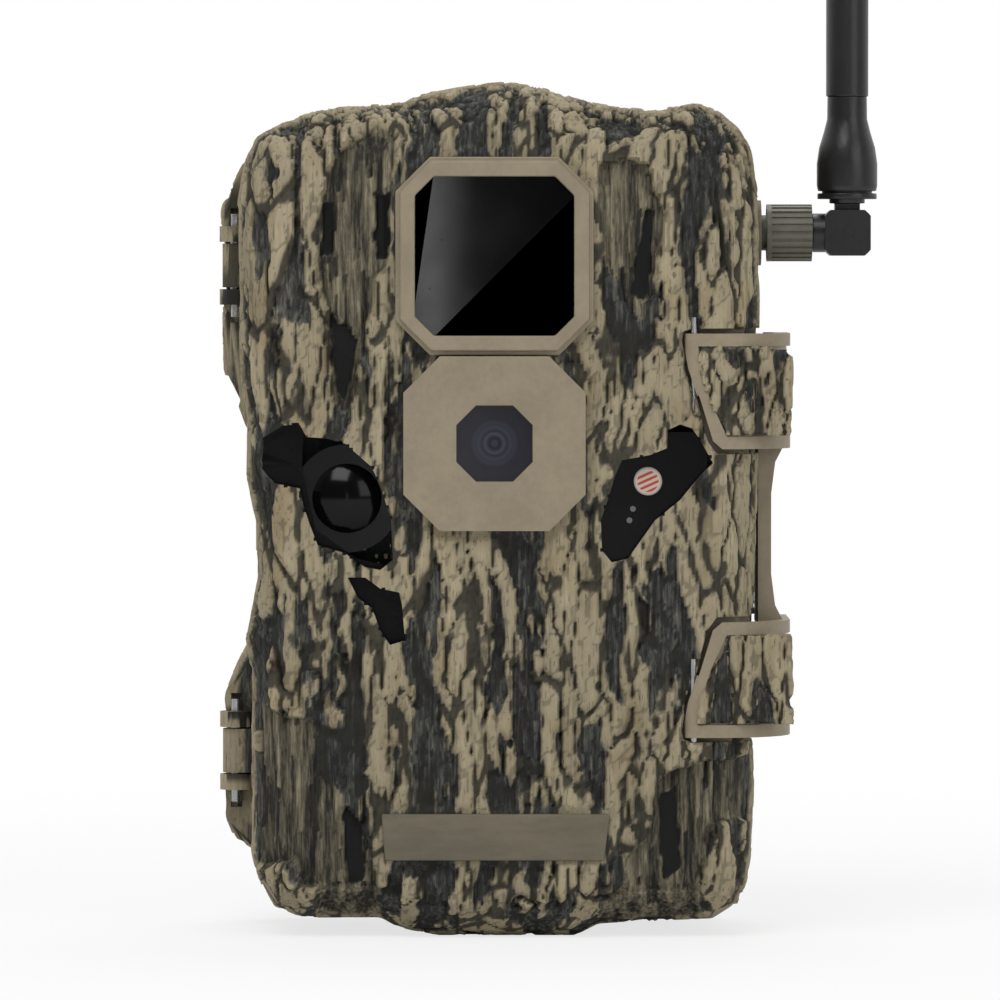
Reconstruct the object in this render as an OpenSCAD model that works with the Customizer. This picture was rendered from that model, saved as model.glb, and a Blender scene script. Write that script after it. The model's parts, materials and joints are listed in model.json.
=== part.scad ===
// Cellular trail camera in a two-part, bark-shaped housing.
// +Z up, front face towards -Y. The origin is the mouth of the tripod socket in the base.

/* [Body] */
// Width of the housing, without hinge and latch
body_w = 92; // [88:1:112]
// Height of the housing
body_h = 148; // [144:1:180]
// Depth of the front cover, from the parting plane to its face
cover_d = 25; // [23:0.5:32]
// Depth of the rear housing
rear_d = 24; // [24:0.5:32]
// Wall of both shells
wall = 2.5; // [2:0.1:3.2]
// Face wall of the front cover
face_wall = 3; // [2.5:0.1:4]
// Radius of the round-over at the edge of the face
edge_r = 9; // [6:0.5:10]

/* [Windows] */
// Width and height of the flash window's opening
flash_w = 27.5; // [24:0.5:29]
// Width of the frame round the flash window
flash_rim = 3.4; // [2.5:0.1:4]
// Height of the flash window's centre above the base
flash_z = 118.4; // [116:0.1:122]
// Width of the lens bezel
bezel_w = 31.5; // [28:0.5:32]
// Height of the lens bezel
bezel_h = 30.2; // [28:0.2:31]
// Width of the lens bezel's opening
lens_open = 13.2; // [12:0.2:15]
// Radius of the lens barrel
barrel_r = 5.5; // [4.5:0.1:6]
// How far the frames stand out of the face
frame_proud = 2.6; // [1.5:0.1:3]

/* [Hinge and latch] */
// Radius of the fixed hinge knuckles
knuckle_r = 2.9; // [2.5:0.1:3.2]
// Radius of the hinge and latch pins
pin_r = 1; // [0.8:0.1:1.3]
// Thickness of the latch
latch_t = 2.6; // [2:0.1:3]
// Height of one latch claw
claw_h = 20; // [17:0.5:24]
// Distance between the two claws
claw_gap = 30; // [24:1:36]

/* [Power] */
// Diameter of one cell
cell_d = 14.5; // [14:0.1:15]
// Length of one cell
cell_l = 50.5; // [49:0.1:51]
// Free length of a cell spring
spring_l = 3.4; // [3:0.1:4]

/* [Antenna] */
// Length of the whip from its pivot to its tip
whip_l = 110; // [60:1:190]
// Radius of the whip's tube
whip_r = 3.7; // [3:0.1:4.5]
// Radius of the knurled coupling nut
nut_r = 5; // [4.5:0.1:5.5]
// Length of the coupling nut
nut_l = 7.9; // [7:0.1:10]

/* [Mounting] */
// Radius of the tripod socket
tripod_r = 3.175; // [3.1:0.005:4.8]
// Depth of the tripod socket
tripod_l = 10; // [8:0.5:14]
// Width of the strap that the bracket takes
strap_w = 27; // [20:1:40]
// Radius of the hole for a lock cable
lock_r = 4; // [3:0.1:4.3]

/* [Hidden] */
$fn = 48;

// clearances
slide_gap = 0.15;   // pieces that slide or turn in each other
seat_gap = 0.05;    // pieces that are seated in each other
door_gap = 0.3;     // between the two halves at the parting plane
latch_gap = 0.4;    // between the latch and the cover
eps = 0.01;

// main planes
part_y = -rear_d / 2;
back_y = rear_d / 2;
face_y = part_y - cover_d;
face_in_y = face_y + face_wall;
proud_y = face_y - frame_proud;

// outlines are drawn for a 92 x 148 housing and follow body_w and body_h
function at(x, z) = [x * body_w / 92, z * body_h / 148];

cover_outline = [
    at(-41.9, 14), at(-40.7, 9), at(-38.4, 5), at(-34, 3), at(-20, 3.1), at(-16.5, 1.2), at(-10, 0),
    at(14.2, 0), at(18.1, 2), at(26, 2.4), at(38, 2.9), at(41.6, 5.2), at(43.3, 9.6), at(44.2, 16),
    at(44.8, 27), at(44.6, 34), at(45.2, 72), at(45.5, 105), at(45.8, 121), at(45.3, 130),
    at(44.4, 137), at(42.4, 140.3), at(39.1, 143.2), at(35.5, 144.8), at(32, 144.1), at(26.8, 143),
    at(17.9, 144.4), at(14, 145.4), at(8, 147.3), at(1, 148), at(-6, 147.2), at(-13, 146),
    at(-16.4, 144.6), at(-23.4, 143.8), at(-30.3, 143.3), at(-37.2, 140.8), at(-41.2, 138.8),
    at(-43.1, 134), at(-44.2, 127.8), at(-44, 98.2), at(-42.5, 90), at(-42.8, 80.2), at(-41.1, 72),
    at(-40.9, 62.2), at(-43, 52.1), at(-41.8, 44.2)];

rear_outline = [
    at(-46.9, 19), at(-45.5, 15.5), at(-41, 13), at(-39.5, 8), at(-37, 4.5), at(-19, 3.4),
    at(-16, 0), at(14.5, 0), at(18, 2.6), at(37, 3.8), at(41, 6.5), at(43.2, 16), at(43.8, 36),
    at(44.2, 72), at(44.4, 104), at(44.6, 121), at(43.7, 133), at(41.1, 139), at(36, 142.5),
    at(27, 141.5), at(15, 143.6), at(7.8, 145.5), at(1, 146.2), at(-8, 145.3), at(-16.1, 143),
    at(-30, 141.8), at(-38, 139.3), at(-44, 134.5), at(-47.4, 127), at(-47.2, 98),
    at(-44.5, 92.5), at(-42.1, 86), at(-40.6, 74), at(-40.4, 60.5), at(-41.9, 52.2), at(-45, 46),
    at(-47, 41)];

mid_z = body_h / 2;
// an outline drawn in by d at its sides, foot and top
function drawn_in(pts, d) =
    let (sx = 1 - 2 * d / body_w, sz = 1 - 2 * d / body_h)
    [for (p = pts) [p[0] * sx, mid_z + (p[1] - mid_z) * sz]];
function ring(pts, y) = [for (p = pts) [p[0], y, p[1]]];

// hinge, on the left
hinge_x = -45.5 * body_w / 92;
hinge_y = part_y;
front_knuckle_r = knuckle_r - 0.5;
knuckle_l = 4.9;
knuckle_pitch = 13.2;
hinge_zs = [for (z = [31.4, 116.8]) z * body_h / 148];

// latch, on the right
latch_mid_z = 70 * body_h / 148;
latch_side_x = 51.6 * body_w / 92;
latch_end_y = part_y + 8;
latch_face_y = face_y - 0.9;
latch_r = 13;
latch_pin_r = 0.6;
latch_nose_r = 1.6;   // the claw's nose, rounded about its pin so that it turns in its seat
latch_pin_x = 34.5 * body_w / 92;
latch_pin_y = face_y + 0.7;
keeper_x = 47.2 * body_w / 92;
keeper_y = part_y + 4.8;
claw_tip_x = 33.2 * body_w / 92;
claw_lo = claw_gap / 2;
claw_hi = claw_gap / 2 + claw_h;

// antenna, on the cover's right wall
ant_y = part_y - 7.6;
ant_z = 122.5 * body_h / 148;
pad_x = 46.6 * body_w / 92;
nut_x = pad_x + 1;
stub_r = 2;
fork_w = 8;
fork_x = nut_x + nut_l + 2.2;
pivot_x = fork_x + fork_w / 2;
slot_w = 4;

// the lens bezel hangs just below the flash window's frame
lens_z = flash_z - flash_w / 2 - flash_rim - 0.15 - bezel_h / 2;

// inside the cover
panel_t = 2;
panel_y = part_y - 0.5 - panel_t;
board_t = 1.6;
board_y = panel_y - 3 - board_t;
board_w = 62;
board_h = 104;
board_z = 68;
key_z = 56;
key_r = 3.2;
key_travel = 0.8;
screen_w = 42;
screen_h = 32;
screen_z = 100;
switch_x = 22;
switch_travel = 6;
card_x = -9;
card_w = 24;
card_z = 30;
card_travel = 12;
screw_r = 1.2;
boss_r = 3;
screw_spots = [for (p = [[-35, 20], [-35.5, 54], [-36, 128], [35.5, 18], [35.5, 70], [36, 128]])
               [p[0] * body_w / 92, p[1] * body_h / 148]];

// eyes: openings in the face with a sensor behind each
left_eye = [[-33.4, 82], [-31, 71], [-24, 66], [-18.2, 64.5], [-17.8, 72], [-20.5, 81.5], [-27, 87],
            [-33, 88.5]];
right_eye = [[18.2, 69], [20, 65.6], [23.5, 66.2], [29, 73.5], [35.5, 77], [36.5, 82.5], [34, 86.5],
             [31, 87], [30, 85], [23, 83.8], [21.5, 81.8], [18.3, 72.5]];
motion_at = [-25.6, 76.4];
motion_r = 6;
cell_at = [26.6, 79.4];
photocell_r = 2.45;
led_spots = [[24, 74.6], [23.4, 72.6]];

// battery tray
cols = 4;
rows = 2;
col_pitch = cell_d + 0.8;
bay_l = cell_l + 1.2 + spring_l;
row_pitch = bay_l + 1.4;
tray_wall = 1.6;
tray_w = cols * col_pitch + tray_wall;
tray_h = rows * row_pitch + tray_wall;
tray_z = 74;
tray_d = cell_d + 2.6;
boss_d = 2;
tray_y = back_y - wall - boss_d - tray_d - seat_gap;
cell_y = tray_y + 0.9 + cell_d / 2;

// tree bracket
bracket_w = 60;
bracket_h = 84;
bracket_z = 78;
bracket_t = 3;
rail_w = 6;
rail_d = 14;
lock_y = back_y + bracket_t + lock_r + 0.3;
lock_z = bracket_z + 29;
strap_t = 4.6;
bracket_spots = [for (x = [-17, 17], z = [-34, 34]) [x, bracket_z + z]];

// base
insert_r = 5;
jack_x = 26;
jack_r = 4;
flap_z = 1;
flap_t = 1.5;

// ---- shared shapes ----

// a plate of outline pts, from y0 back to y1
module slab(pts, y0, y1) {
    translate([0, y1, 0]) rotate([90, 0, 0]) linear_extrude(y1 - y0) polygon(pts);
}

// a closed skin through rings that have the same number of points
module loft(rings) {
    n = len(rings[0]);
    m = len(rings);
    points = [for (r = rings) each r];
    sides = [for (j = [0 : m - 2], i = [0 : n - 1])
             [j * n + i, (j + 1) * n + i, (j + 1) * n + (i + 1) % n, j * n + (i + 1) % n]];
    polyhedron(points, concat(sides, [[for (i = [0 : n - 1]) i]],
                              [[for (i = [n - 1 : -1 : 0]) (m - 1) * n + i]]));
}

// a cylinder along Y, from y0 back to y1
module rod_y(r, y0, y1) {
    translate([0, y1, 0]) rotate([90, 0, 0]) cylinder(r = r, h = y1 - y0);
}

// a cylinder along X, from x0 to x1
module rod_x(r, x0, x1) {
    translate([x0, 0, 0]) rotate([0, 90, 0]) cylinder(r = r, h = x1 - x0);
}

// a rectangle with its corners cut by c
function octagon(w, h, c) = [
    [-w / 2 + c, -h / 2], [w / 2 - c, -h / 2], [w / 2, -h / 2 + c], [w / 2, h / 2 - c],
    [w / 2 - c, h / 2], [-w / 2 + c, h / 2], [-w / 2, h / 2 - c], [-w / 2, -h / 2 + c]];
function moved(pts, x, z) = [for (p = pts) [p[0] + x, p[1] + z]];

// ---- front cover ----

cover_levels = concat([[part_y - 1, 0]],
    [for (a = [0, 22.5, 45, 67.5, 90]) [face_y + edge_r * (1 - sin(a)), edge_r * (1 - cos(a))]]);

// outline of a claw as seen from the front, drawn out by g; side 1 is the upper claw
function claw_outline(g, side) =
    let (lo = claw_lo - g, hi = claw_hi + g, k = claw_tip_x - g, s = latch_side_x + 2)
    [for (p = [[k + 6.2, lo], [s, lo], [s, hi], [k + 1.6, hi], [k + 0.3, hi - 0.6], [k, hi - 2],
               [k + 0.8, hi - 6.5], [k + 2.6, hi - 12], [k + 4.6, lo + 1.4]])
     [p[0], latch_mid_z + side * p[1]]];

// the latch's section, off in from its outer face, from the pivot round to the tip
function latch_path(off, tip) = concat(
    [[latch_side_x - off, latch_end_y]],
    [for (a = [0 : -15 : -90]) [latch_side_x - latch_r + (latch_r - off) * cos(a),
                                latch_face_y + latch_r + (latch_r - off) * sin(a)]],
    [[tip, latch_face_y + off]]);
function turned(pts) = [for (i = [len(pts) - 1 : -1 : 0]) pts[i]];

// the band between two offsets of the latch's section, as tall as the housing
module latch_band(off0, off1) {
    linear_extrude(body_h)
        polygon(concat(latch_path(off0, claw_tip_x - 6), turned(latch_path(off1, claw_tip_x - 6))));
}

module knuckles(r, lengths_z, bore_r) {
    for (p = lengths_z) translate([hinge_x, hinge_y, p[0]]) difference() {
        cylinder(r = r, h = p[1] - p[0]);
        translate([0, 0, -1]) cylinder(r = bore_r, h = p[1] - p[0] + 2);
    }
}

// span in height of a claw's pin, as [low, high]; side 1 is the upper claw
function claw_pin_span(g, side) =
    let (a = latch_mid_z + side * (claw_hi + g), b = latch_mid_z + side * (claw_hi - 10.8 - g))
    [min(a, b), max(a, b)];

// what the closed latch fills of the cover, grown by g
module latch_seat(g) {
    for (side = [-1, 1]) {
        span = claw_pin_span(0.5 + g, side);
        intersection() {
            slab(claw_outline(0.8 + g, side), face_y - 5, latch_end_y);
            latch_band(-4, latch_t + latch_gap + g);
        }
        translate([latch_pin_x, latch_pin_y, span[0]])
            cylinder(r = latch_nose_r + 0.2 + g, h = span[1] - span[0]);
    }
}

// spans of the fixed and of the moving knuckles, as [low, high]
half_pitch = knuckle_pitch / 2;
fixed_spans = [for (z = hinge_zs, s = [-1, 1])
               [z + s * half_pitch - knuckle_l / 2, z + s * half_pitch + knuckle_l / 2]];
moving_half = half_pitch - knuckle_l / 2 - 0.3;
moving_spans = [for (z = hinge_zs) [z - moving_half, z + moving_half]];

// the hole that a claw's pin runs in
module latch_bore(side, r) {
    span = claw_pin_span(3, side);
    translate([latch_pin_x, latch_pin_y, span[0]]) cylinder(r = r, h = span[1] - span[0]);
}

module front_shell() {
    color("#857d68") {
        difference() {
            union() {
                difference() {
                    union() {
                        slab(cover_outline, face_y + edge_r + 1, part_y - door_gap / 2);
                        loft([for (l = cover_levels) ring(drawn_in(cover_outline, l[1]), l[0])]);
                        for (p = moving_spans) translate([hinge_x, hinge_y - front_knuckle_r, p[0]])
                            cube([5.5, front_knuckle_r - door_gap / 2 - eps, p[1] - p[0]]);
                    }
                    difference() {
                        union() {
                            slab(drawn_in(cover_outline, wall), face_y + edge_r * 0.62, part_y + 1);
                            slab(drawn_in(cover_outline, edge_r * 0.8), face_in_y, part_y + 1);
                        }
                        latch_seat(1.6);
                    }
                }
                translate([0, ant_y, ant_z]) rod_x(5.7, pad_x - 3.6, pad_x);
                for (p = screw_spots) translate([p[0], 0, p[1]])
                    rod_y(boss_r, face_in_y - 1, panel_y - seat_gap);
                for (x = [-1, 1], z = [-1, 1]) translate([x * 17.6, 0, flash_z + z * 14])
                    rod_y(1.5, face_in_y - 1, flash_board_y - seat_gap);
            }
            slab(moved(octagon(flash_w + 3.5, flash_w + 3.5, 4.5), 0, flash_z), face_y - 1, part_y);
            slab(moved(octagon(lens_open + 3.1, lens_open + 3.1, 4.4), 0, lens_z), face_y - 1,
                 face_in_y + 1);
            slab(left_eye, face_y - 1, face_in_y + 1);
            slab(right_eye, face_y - 1, face_in_y + 1);
            slab(sensor_window_outline(seat_gap), face_in_y, face_in_y + 3);
            for (p = screw_spots) translate([p[0], 0, p[1]])
                rod_y(screw_r + seat_gap, panel_y - 9, part_y);
            translate([0, ant_y, ant_z]) rod_x(3.1 + seat_gap, pad_x - 9, pad_x + 1);
            latch_seat(0);
            for (side = [-1, 1]) latch_bore(side, latch_pin_r + 0.02);
            for (p = fixed_spans) translate([hinge_x, hinge_y, p[0] - 0.3])
                cylinder(r = knuckle_r + 0.35, h = p[1] - p[0] + 0.6);
            for (p = moving_spans) translate([hinge_x, hinge_y, p[0] - 1])
                cylinder(r = front_knuckle_r - 0.3, h = p[1] - p[0] + 2);
        }
        knuckles(front_knuckle_r, moving_spans, pin_r + 0.08);
    }
}

module window_frame() {
    o = flash_w + 2 * flash_rim;
    color("#8f866f") translate([0, 0, flash_z]) difference() {
        union() {
            slab(octagon(o, o, 6), face_y - frame_proud * 0.55, face_y - seat_gap);
            slab(octagon(o - 1.6, o - 1.6, 5.4), proud_y, face_y - frame_proud * 0.55);
            slab(octagon(flash_w + 3.2, flash_w + 3.2, 4.4), face_y - seat_gap, face_in_y);
        }
        slab(octagon(flash_w, flash_w, 3.3), proud_y - 1, face_in_y + 1);
        slab(octagon(flash_w + 1.2, flash_w + 1.2, 3.7), face_y - 0.6, face_in_y + 1);
    }
}

module flash_window() {
    color("#0a0a0c") translate([0, 0, flash_z])
        slab(octagon(flash_w + 1, flash_w + 1, 3.6), face_y - 0.55, face_y + 1);
}

flash_board_y = face_in_y + 2.2;
led_pitch = 4.4;
module flash_board() {
    color("#1d4a2a") translate([0, flash_board_y, flash_z]) difference() {
        translate([-19.2, 0, -16]) cube([38.4, board_t, 32]);
        for (x = [-1, 1], z = [-1, 1]) translate([x * 17.6, 0, z * 14]) rod_y(0.8, -1, board_t + 1);
    }
}

module flash_leds() {
    color("#3a2030") translate([0, flash_board_y, flash_z])
        for (i = [-2.5 : 2.5], j = [-2.5 : 2.5])
            translate([i * led_pitch, 0, j * led_pitch]) rod_y(1.5, -2.6, 0);
}

module lens_bezel() {
    dish = 1.1;
    color("#877c68") translate([0, 0, lens_z]) difference() {
        union() {
            slab(octagon(bezel_w, bezel_h, 6.3), proud_y, face_y - seat_gap);
            slab(octagon(lens_open + 2.8, lens_open + 2.8, 4.3), face_y - seat_gap, face_in_y);
        }
        loft([ring(octagon(lens_open - 2 * eps, lens_open - 2 * eps, 3.4), proud_y + dish),
              ring(octagon(bezel_w - 2, bezel_h - 2, 5.9), proud_y - eps)]);
        slab(octagon(lens_open, lens_open, 3.4), proud_y, face_in_y + 1);
        slab(octagon(lens_open + 1, lens_open + 1, 3.7), face_y + 0.4, face_in_y + 1);
    }
}

module lens_window() {
    color("#16161b") translate([0, 0, lens_z])
        slab(octagon(lens_open + 0.8, lens_open + 0.8, 3.6), face_y + 0.45, face_y + 1.5);
}

holder_y = board_y - board_t - seat_gap;
module lens_holder() {
    color("#141414") translate([0, 0, lens_z]) difference() {
        union() {
            rod_y(barrel_r + 1.5, holder_y - 9.5, holder_y);
            translate([-9, holder_y - 3, -9]) cube([18, 3, 18]);
        }
        rod_y(barrel_r + seat_gap, holder_y - 11, holder_y + 1);
    }
}

module lens_barrel() {
    color("#0f0f10") translate([0, 0, lens_z]) difference() {
        union() {
            rod_y(barrel_r, face_y + 4.2, holder_y - 2.6);
            rod_y(barrel_r - 0.8, face_y + 2.6, face_y + 4.2);
        }
        rod_y(barrel_r - 1.7, face_y + 2, holder_y - 2);
    }
}

module lens_glass() {
    r = barrel_r - 1.7 - seat_gap;
    color("#2b2b3a") translate([0, face_y + 3.9, lens_z]) intersection() {
        rod_y(r, -2.1, 3);
        translate([0, 3.4, 0]) sphere(r = 5.2);
    }
}

module sensor_board() {
    color("#14532c") translate([-13, board_y - board_t, lens_z - 11]) cube([26, board_t, 22]);
}

module image_sensor() {
    color("#20242c") translate([-4, holder_y - 1.2, lens_z - 3.2]) cube([7.9, 1.2, 6.4]);
}

module motion_lens() {
    color("#0d0d0d") translate([motion_at[0], face_in_y, motion_at[1]]) {
        rod_y(9.4, 0, 1.2);
        intersection() {
            translate([0, 7.6, 0]) sphere(r = 10);
            rod_y(motion_r, -3, eps);
        }
    }
}

module motion_sensor() {
    color("#b8b8b4") translate([motion_at[0], 0, motion_at[1]]) {
        rod_y(4.1, face_in_y + 1.9, face_in_y + 5.5);
        rod_y(4.7, face_in_y + 5.5, face_in_y + 6);
        translate([-6, face_in_y + 6, -6]) cube([12, 1.2, 12]);
        for (s = [-1, 1]) translate([s * 5.2, 0, 0]) rod_y(0.8, face_in_y + 1.2, face_in_y + 6);
    }
}

function sensor_window_outline(g) = [
    [16.6 - g, 64 - g], [25 + g, 64 - g], [33.5 + g, 72 - g], [37 + g, 74.5 - g], [37 + g, 88 + g],
    [29 - g, 88 + g], [16.6 - g, 84.5 + g]];
module sensor_window() {
    color("#0b0b0d") slab(sensor_window_outline(0), face_in_y, face_in_y + 1.2);
}

module photocell() {
    color("#a8503c") translate([cell_at[0], 0, cell_at[1]])
        rod_y(photocell_r, face_in_y - 1, face_in_y);
}

module status_leds() {
    color("#d8d8d8") for (p = led_spots) translate([p[0], 0, p[1]])
        rod_y(0.5, face_in_y - 0.4, face_in_y);
}

module main_board() {
    color("#15502b") difference() {
        translate([-board_w / 2, board_y, board_z - board_h / 2]) cube([board_w, board_t, board_h]);
        translate([screen_w / 2 + 3, board_y - 1, screen_z + 8]) cube([4, board_t + 2, 10]);
    }
}

module modem_module() {
    color("#b9bcbf") translate([3, board_y - 2.6, 36]) cube([24, 2.6, 26]);
}

module sim_socket() {
    color("#c4c4c0") translate([-30, board_y + board_t, 66]) cube([15, 1.4, 14]);
}

module inner_panel() {
    color("#2a2b2a") difference() {
        union() {
            slab(drawn_in(cover_outline, wall + 0.4), panel_y, panel_y + panel_t);
            for (x = [-1, 1], z = [-1, 1])
                translate([x * (board_w / 2 - 3), 0, board_z + z * (board_h / 2 - 3)])
                    rod_y(2.2, board_y + board_t, panel_y + eps);
        }
        for (p = screw_spots) translate([p[0], 0, p[1]]) {
            rod_y(screw_r + 0.2, panel_y - 1, part_y);
            rod_y(2.6, panel_y + 0.8, part_y);
        }
        translate([-screen_w / 2, panel_y - 1, screen_z - screen_h / 2])
            cube([screen_w, panel_t + 2, screen_h]);
        for (k = key_spots) translate([k[0], 0, k[1]]) rod_y(key_r + slide_gap, panel_y - 1, part_y);
        translate([switch_x - 2 - slide_gap, panel_y - 1, key_z - 1.6 - slide_gap])
            cube([4 + switch_travel + 2 * slide_gap, panel_t + 2, 3.2 + 2 * slide_gap]);
        translate([card_x - card_travel - 3, panel_y - 1, card_z - card_w / 2 - 1])
            cube([card_travel + 8, panel_t + 2, card_w + 2]);
    }
}

module screen() {
    color("#101418") {
        translate([-screen_w / 2 - 2, board_y + board_t + seat_gap, screen_z - screen_h / 2 - 2])
            cube([screen_w + 4, 3 - 2 * seat_gap, screen_h + 4]);
        translate([-screen_w / 2 + 0.4, panel_y - seat_gap - eps, screen_z - screen_h / 2 + 0.4])
            cube([screen_w - 0.8, 1.2, screen_h - 0.8]);
    }
}

key_pitch = 9;
key_spots = [[0, key_z + key_pitch], [0, key_z - key_pitch], [-key_pitch, key_z], [key_pitch, key_z],
             [0, key_z], [-21, key_z]];
module key(i) {
    color("#4a4b48") translate([key_spots[i][0], 0, key_spots[i][1]]) {
        rod_y(key_r, panel_y - 1, panel_y + panel_t + 0.7);
        rod_y(key_r - 1.4, panel_y - 3 + key_travel + 0.2, panel_y);
    }
}

module power_switch() {
    color("#c8c8c4") {
        translate([switch_x - 2, panel_y - 2, key_z - 1.6]) cube([4, panel_t + 2.6, 3.2]);
        translate([switch_x - 3, board_y + board_t + seat_gap, key_z - 2.4]) cube([6, 1, 4.8]);
    }
}

module card_socket() {
    color("#c9cbcc") difference() {
        translate([card_x + 5, board_y + board_t, card_z - card_w / 2 - 1.2]) cube([27.5, 2.8, card_w + 2.4]);
        translate([card_x + 4, board_y + board_t + 0.2, card_z - card_w / 2 - slide_gap])
            cube([27.5, 2.4, card_w + 2 * slide_gap]);
    }
}

module memory_card() {
    color("#23262b") translate([card_x, board_y + board_t + 0.35, card_z - card_w / 2]) difference() {
        cube([31, 2.1, card_w]);
        translate([1, 1.7, 3]) cube([1.2, 1, card_w - 6]);
    }
}

module panel_screws() {
    color("#8c8f92") for (p = screw_spots) translate([p[0], 0, p[1]]) difference() {
        union() {
            rod_y(screw_r, panel_y - 8, panel_y + 1);
            rod_y(2.4, panel_y + 0.8, panel_y + panel_t);
        }
        translate([-1.6, panel_y + panel_t - 0.7, -0.3]) cube([3.2, 2, 0.6]);
        translate([-0.3, panel_y + panel_t - 0.7, -1.6]) cube([0.6, 2, 3.2]);
    }
}

module front_plate() {
    color("#6f6a5c") slab([[-19, 13.7], [19, 13.7], [20, 21.8], [-19.6, 21.8]], face_y - 1, face_y - seat_gap);
}

// ---- antenna ----

module antenna_jack() {
    color("#b89b4e") translate([0, ant_y, ant_z]) difference() {
        union() {
            rod_x(3.1, pad_x - 8.5, nut_x + 4.9);
            translate([pad_x - 5.7, 0, 0]) rotate([0, 90, 0]) cylinder(r = 4.6, h = 2.1, $fn = 6);
        }
        rod_x(1, nut_x, nut_x + 6);
    }
}

module antenna_nut() {
    color("#6a685c") translate([0, ant_y, ant_z]) difference() {
        rod_x(nut_r, nut_x, nut_x + nut_l);
        rod_x(3.1 + slide_gap, nut_x - 1, nut_x + nut_l - 2);
        rod_x(stub_r + slide_gap, nut_x, nut_x + nut_l + 1);
        for (a = [0 : 15 : 345]) rotate([a, 0, 0]) translate([nut_x + 0.8, nut_r - 0.3, -0.3])
            cube([nut_l, 1, 0.6]);
    }
}

module antenna_elbow() {
    color("#111111") translate([0, ant_y, ant_z]) {
        rod_x(stub_r, nut_x + nut_l - 2.4, fork_x + 1);
        rod_x(2.9, nut_x + nut_l - 2.7, nut_x + nut_l - 2.1);
        rod_x(3.4, nut_x + nut_l + 0.2, fork_x + 0.5);
        difference() {
            intersection() {
                translate([fork_x, -fork_w / 2, -fork_w / 2]) cube(fork_w);
                translate([fork_x + fork_w / 2, 0, 0]) rod_y(fork_w * 0.62, -fork_w, fork_w);
            }
            translate([fork_x + 1.2, -slot_w / 2, -fork_w / 2 + 1.2]) cube([fork_w, slot_w, fork_w]);
            translate([pivot_x, 0, 0]) rod_y(pin_r + 0.02, -fork_w, fork_w);
        }
    }
}

module antenna_pin() {
    color("#8c8f92") translate([pivot_x, ant_y, ant_z]) rod_y(pin_r, -fork_w / 2, fork_w / 2);
}

boot_base = 5.9;
boot_top = 23.8;
module antenna_boot() {
    tongue_t = slot_w - 0.3;
    color("#141414") translate([pivot_x, ant_y, ant_z]) {
        difference() {
            union() {
                rod_y(2.65, -tongue_t / 2, tongue_t / 2);
                translate([-2.2, -tongue_t / 2, 0]) cube([4.4, tongue_t, boot_base]);
            }
            rod_y(pin_r + 0.08, -fork_w, fork_w);
        }
        translate([0, 0, boot_base - 0.75]) cylinder(r = 3.1, h = 0.85);
        rotate_extrude() polygon([[0, boot_base], [5.2, boot_base], [5.2, boot_base + 1], [4.4, boot_base + 1],
                                  [4.4, boot_base + 1.4], [5.1, boot_base + 1.4], [5.3, boot_base + 2.4],
                                  [5.3, boot_base + 6.2], [4.9, boot_base + 9], [4.1, boot_base + 11.6],
                                  [3.5, boot_base + 14], [3.45, boot_top], [0, boot_top]]);
    }
}

module antenna_tube() {
    color("#161616") translate([pivot_x, ant_y, ant_z]) {
        rotate_extrude() polygon([[0, boot_top], [whip_r, boot_top], [whip_r, whip_l - 1.5],
                                  [whip_r - 0.5, whip_l - 0.5], [whip_r - 1.6, whip_l], [0, whip_l]]);
    }
}

// ---- rear housing ----

seal_in = 1.6;
seal_w = 1.2;
seal_d = 1.2;
module door_seal() {
    color("#1c1c1c") difference() {
        slab(drawn_in(cover_outline, seal_in), part_y - door_gap / 2 + seat_gap, part_y + door_gap / 2 + seal_d);
        slab(drawn_in(cover_outline, seal_in + seal_w), part_y - 1, part_y + 3);
    }
}

// the ribs beside which the latch's lip snaps home
module keepers() {
    for (side = [-1, 1]) translate([0, 0, latch_mid_z + side * (claw_lo + claw_h / 2) - claw_h / 2 + 1.5])
        linear_extrude(claw_h - 3) polygon([[keeper_x - 8, part_y + 1.5], [keeper_x - 1.2, part_y + 1.5],
                                            [keeper_x, part_y + 2.7], [keeper_x, keeper_y],
                                            [keeper_x - 8, keeper_y]]);
}

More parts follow.
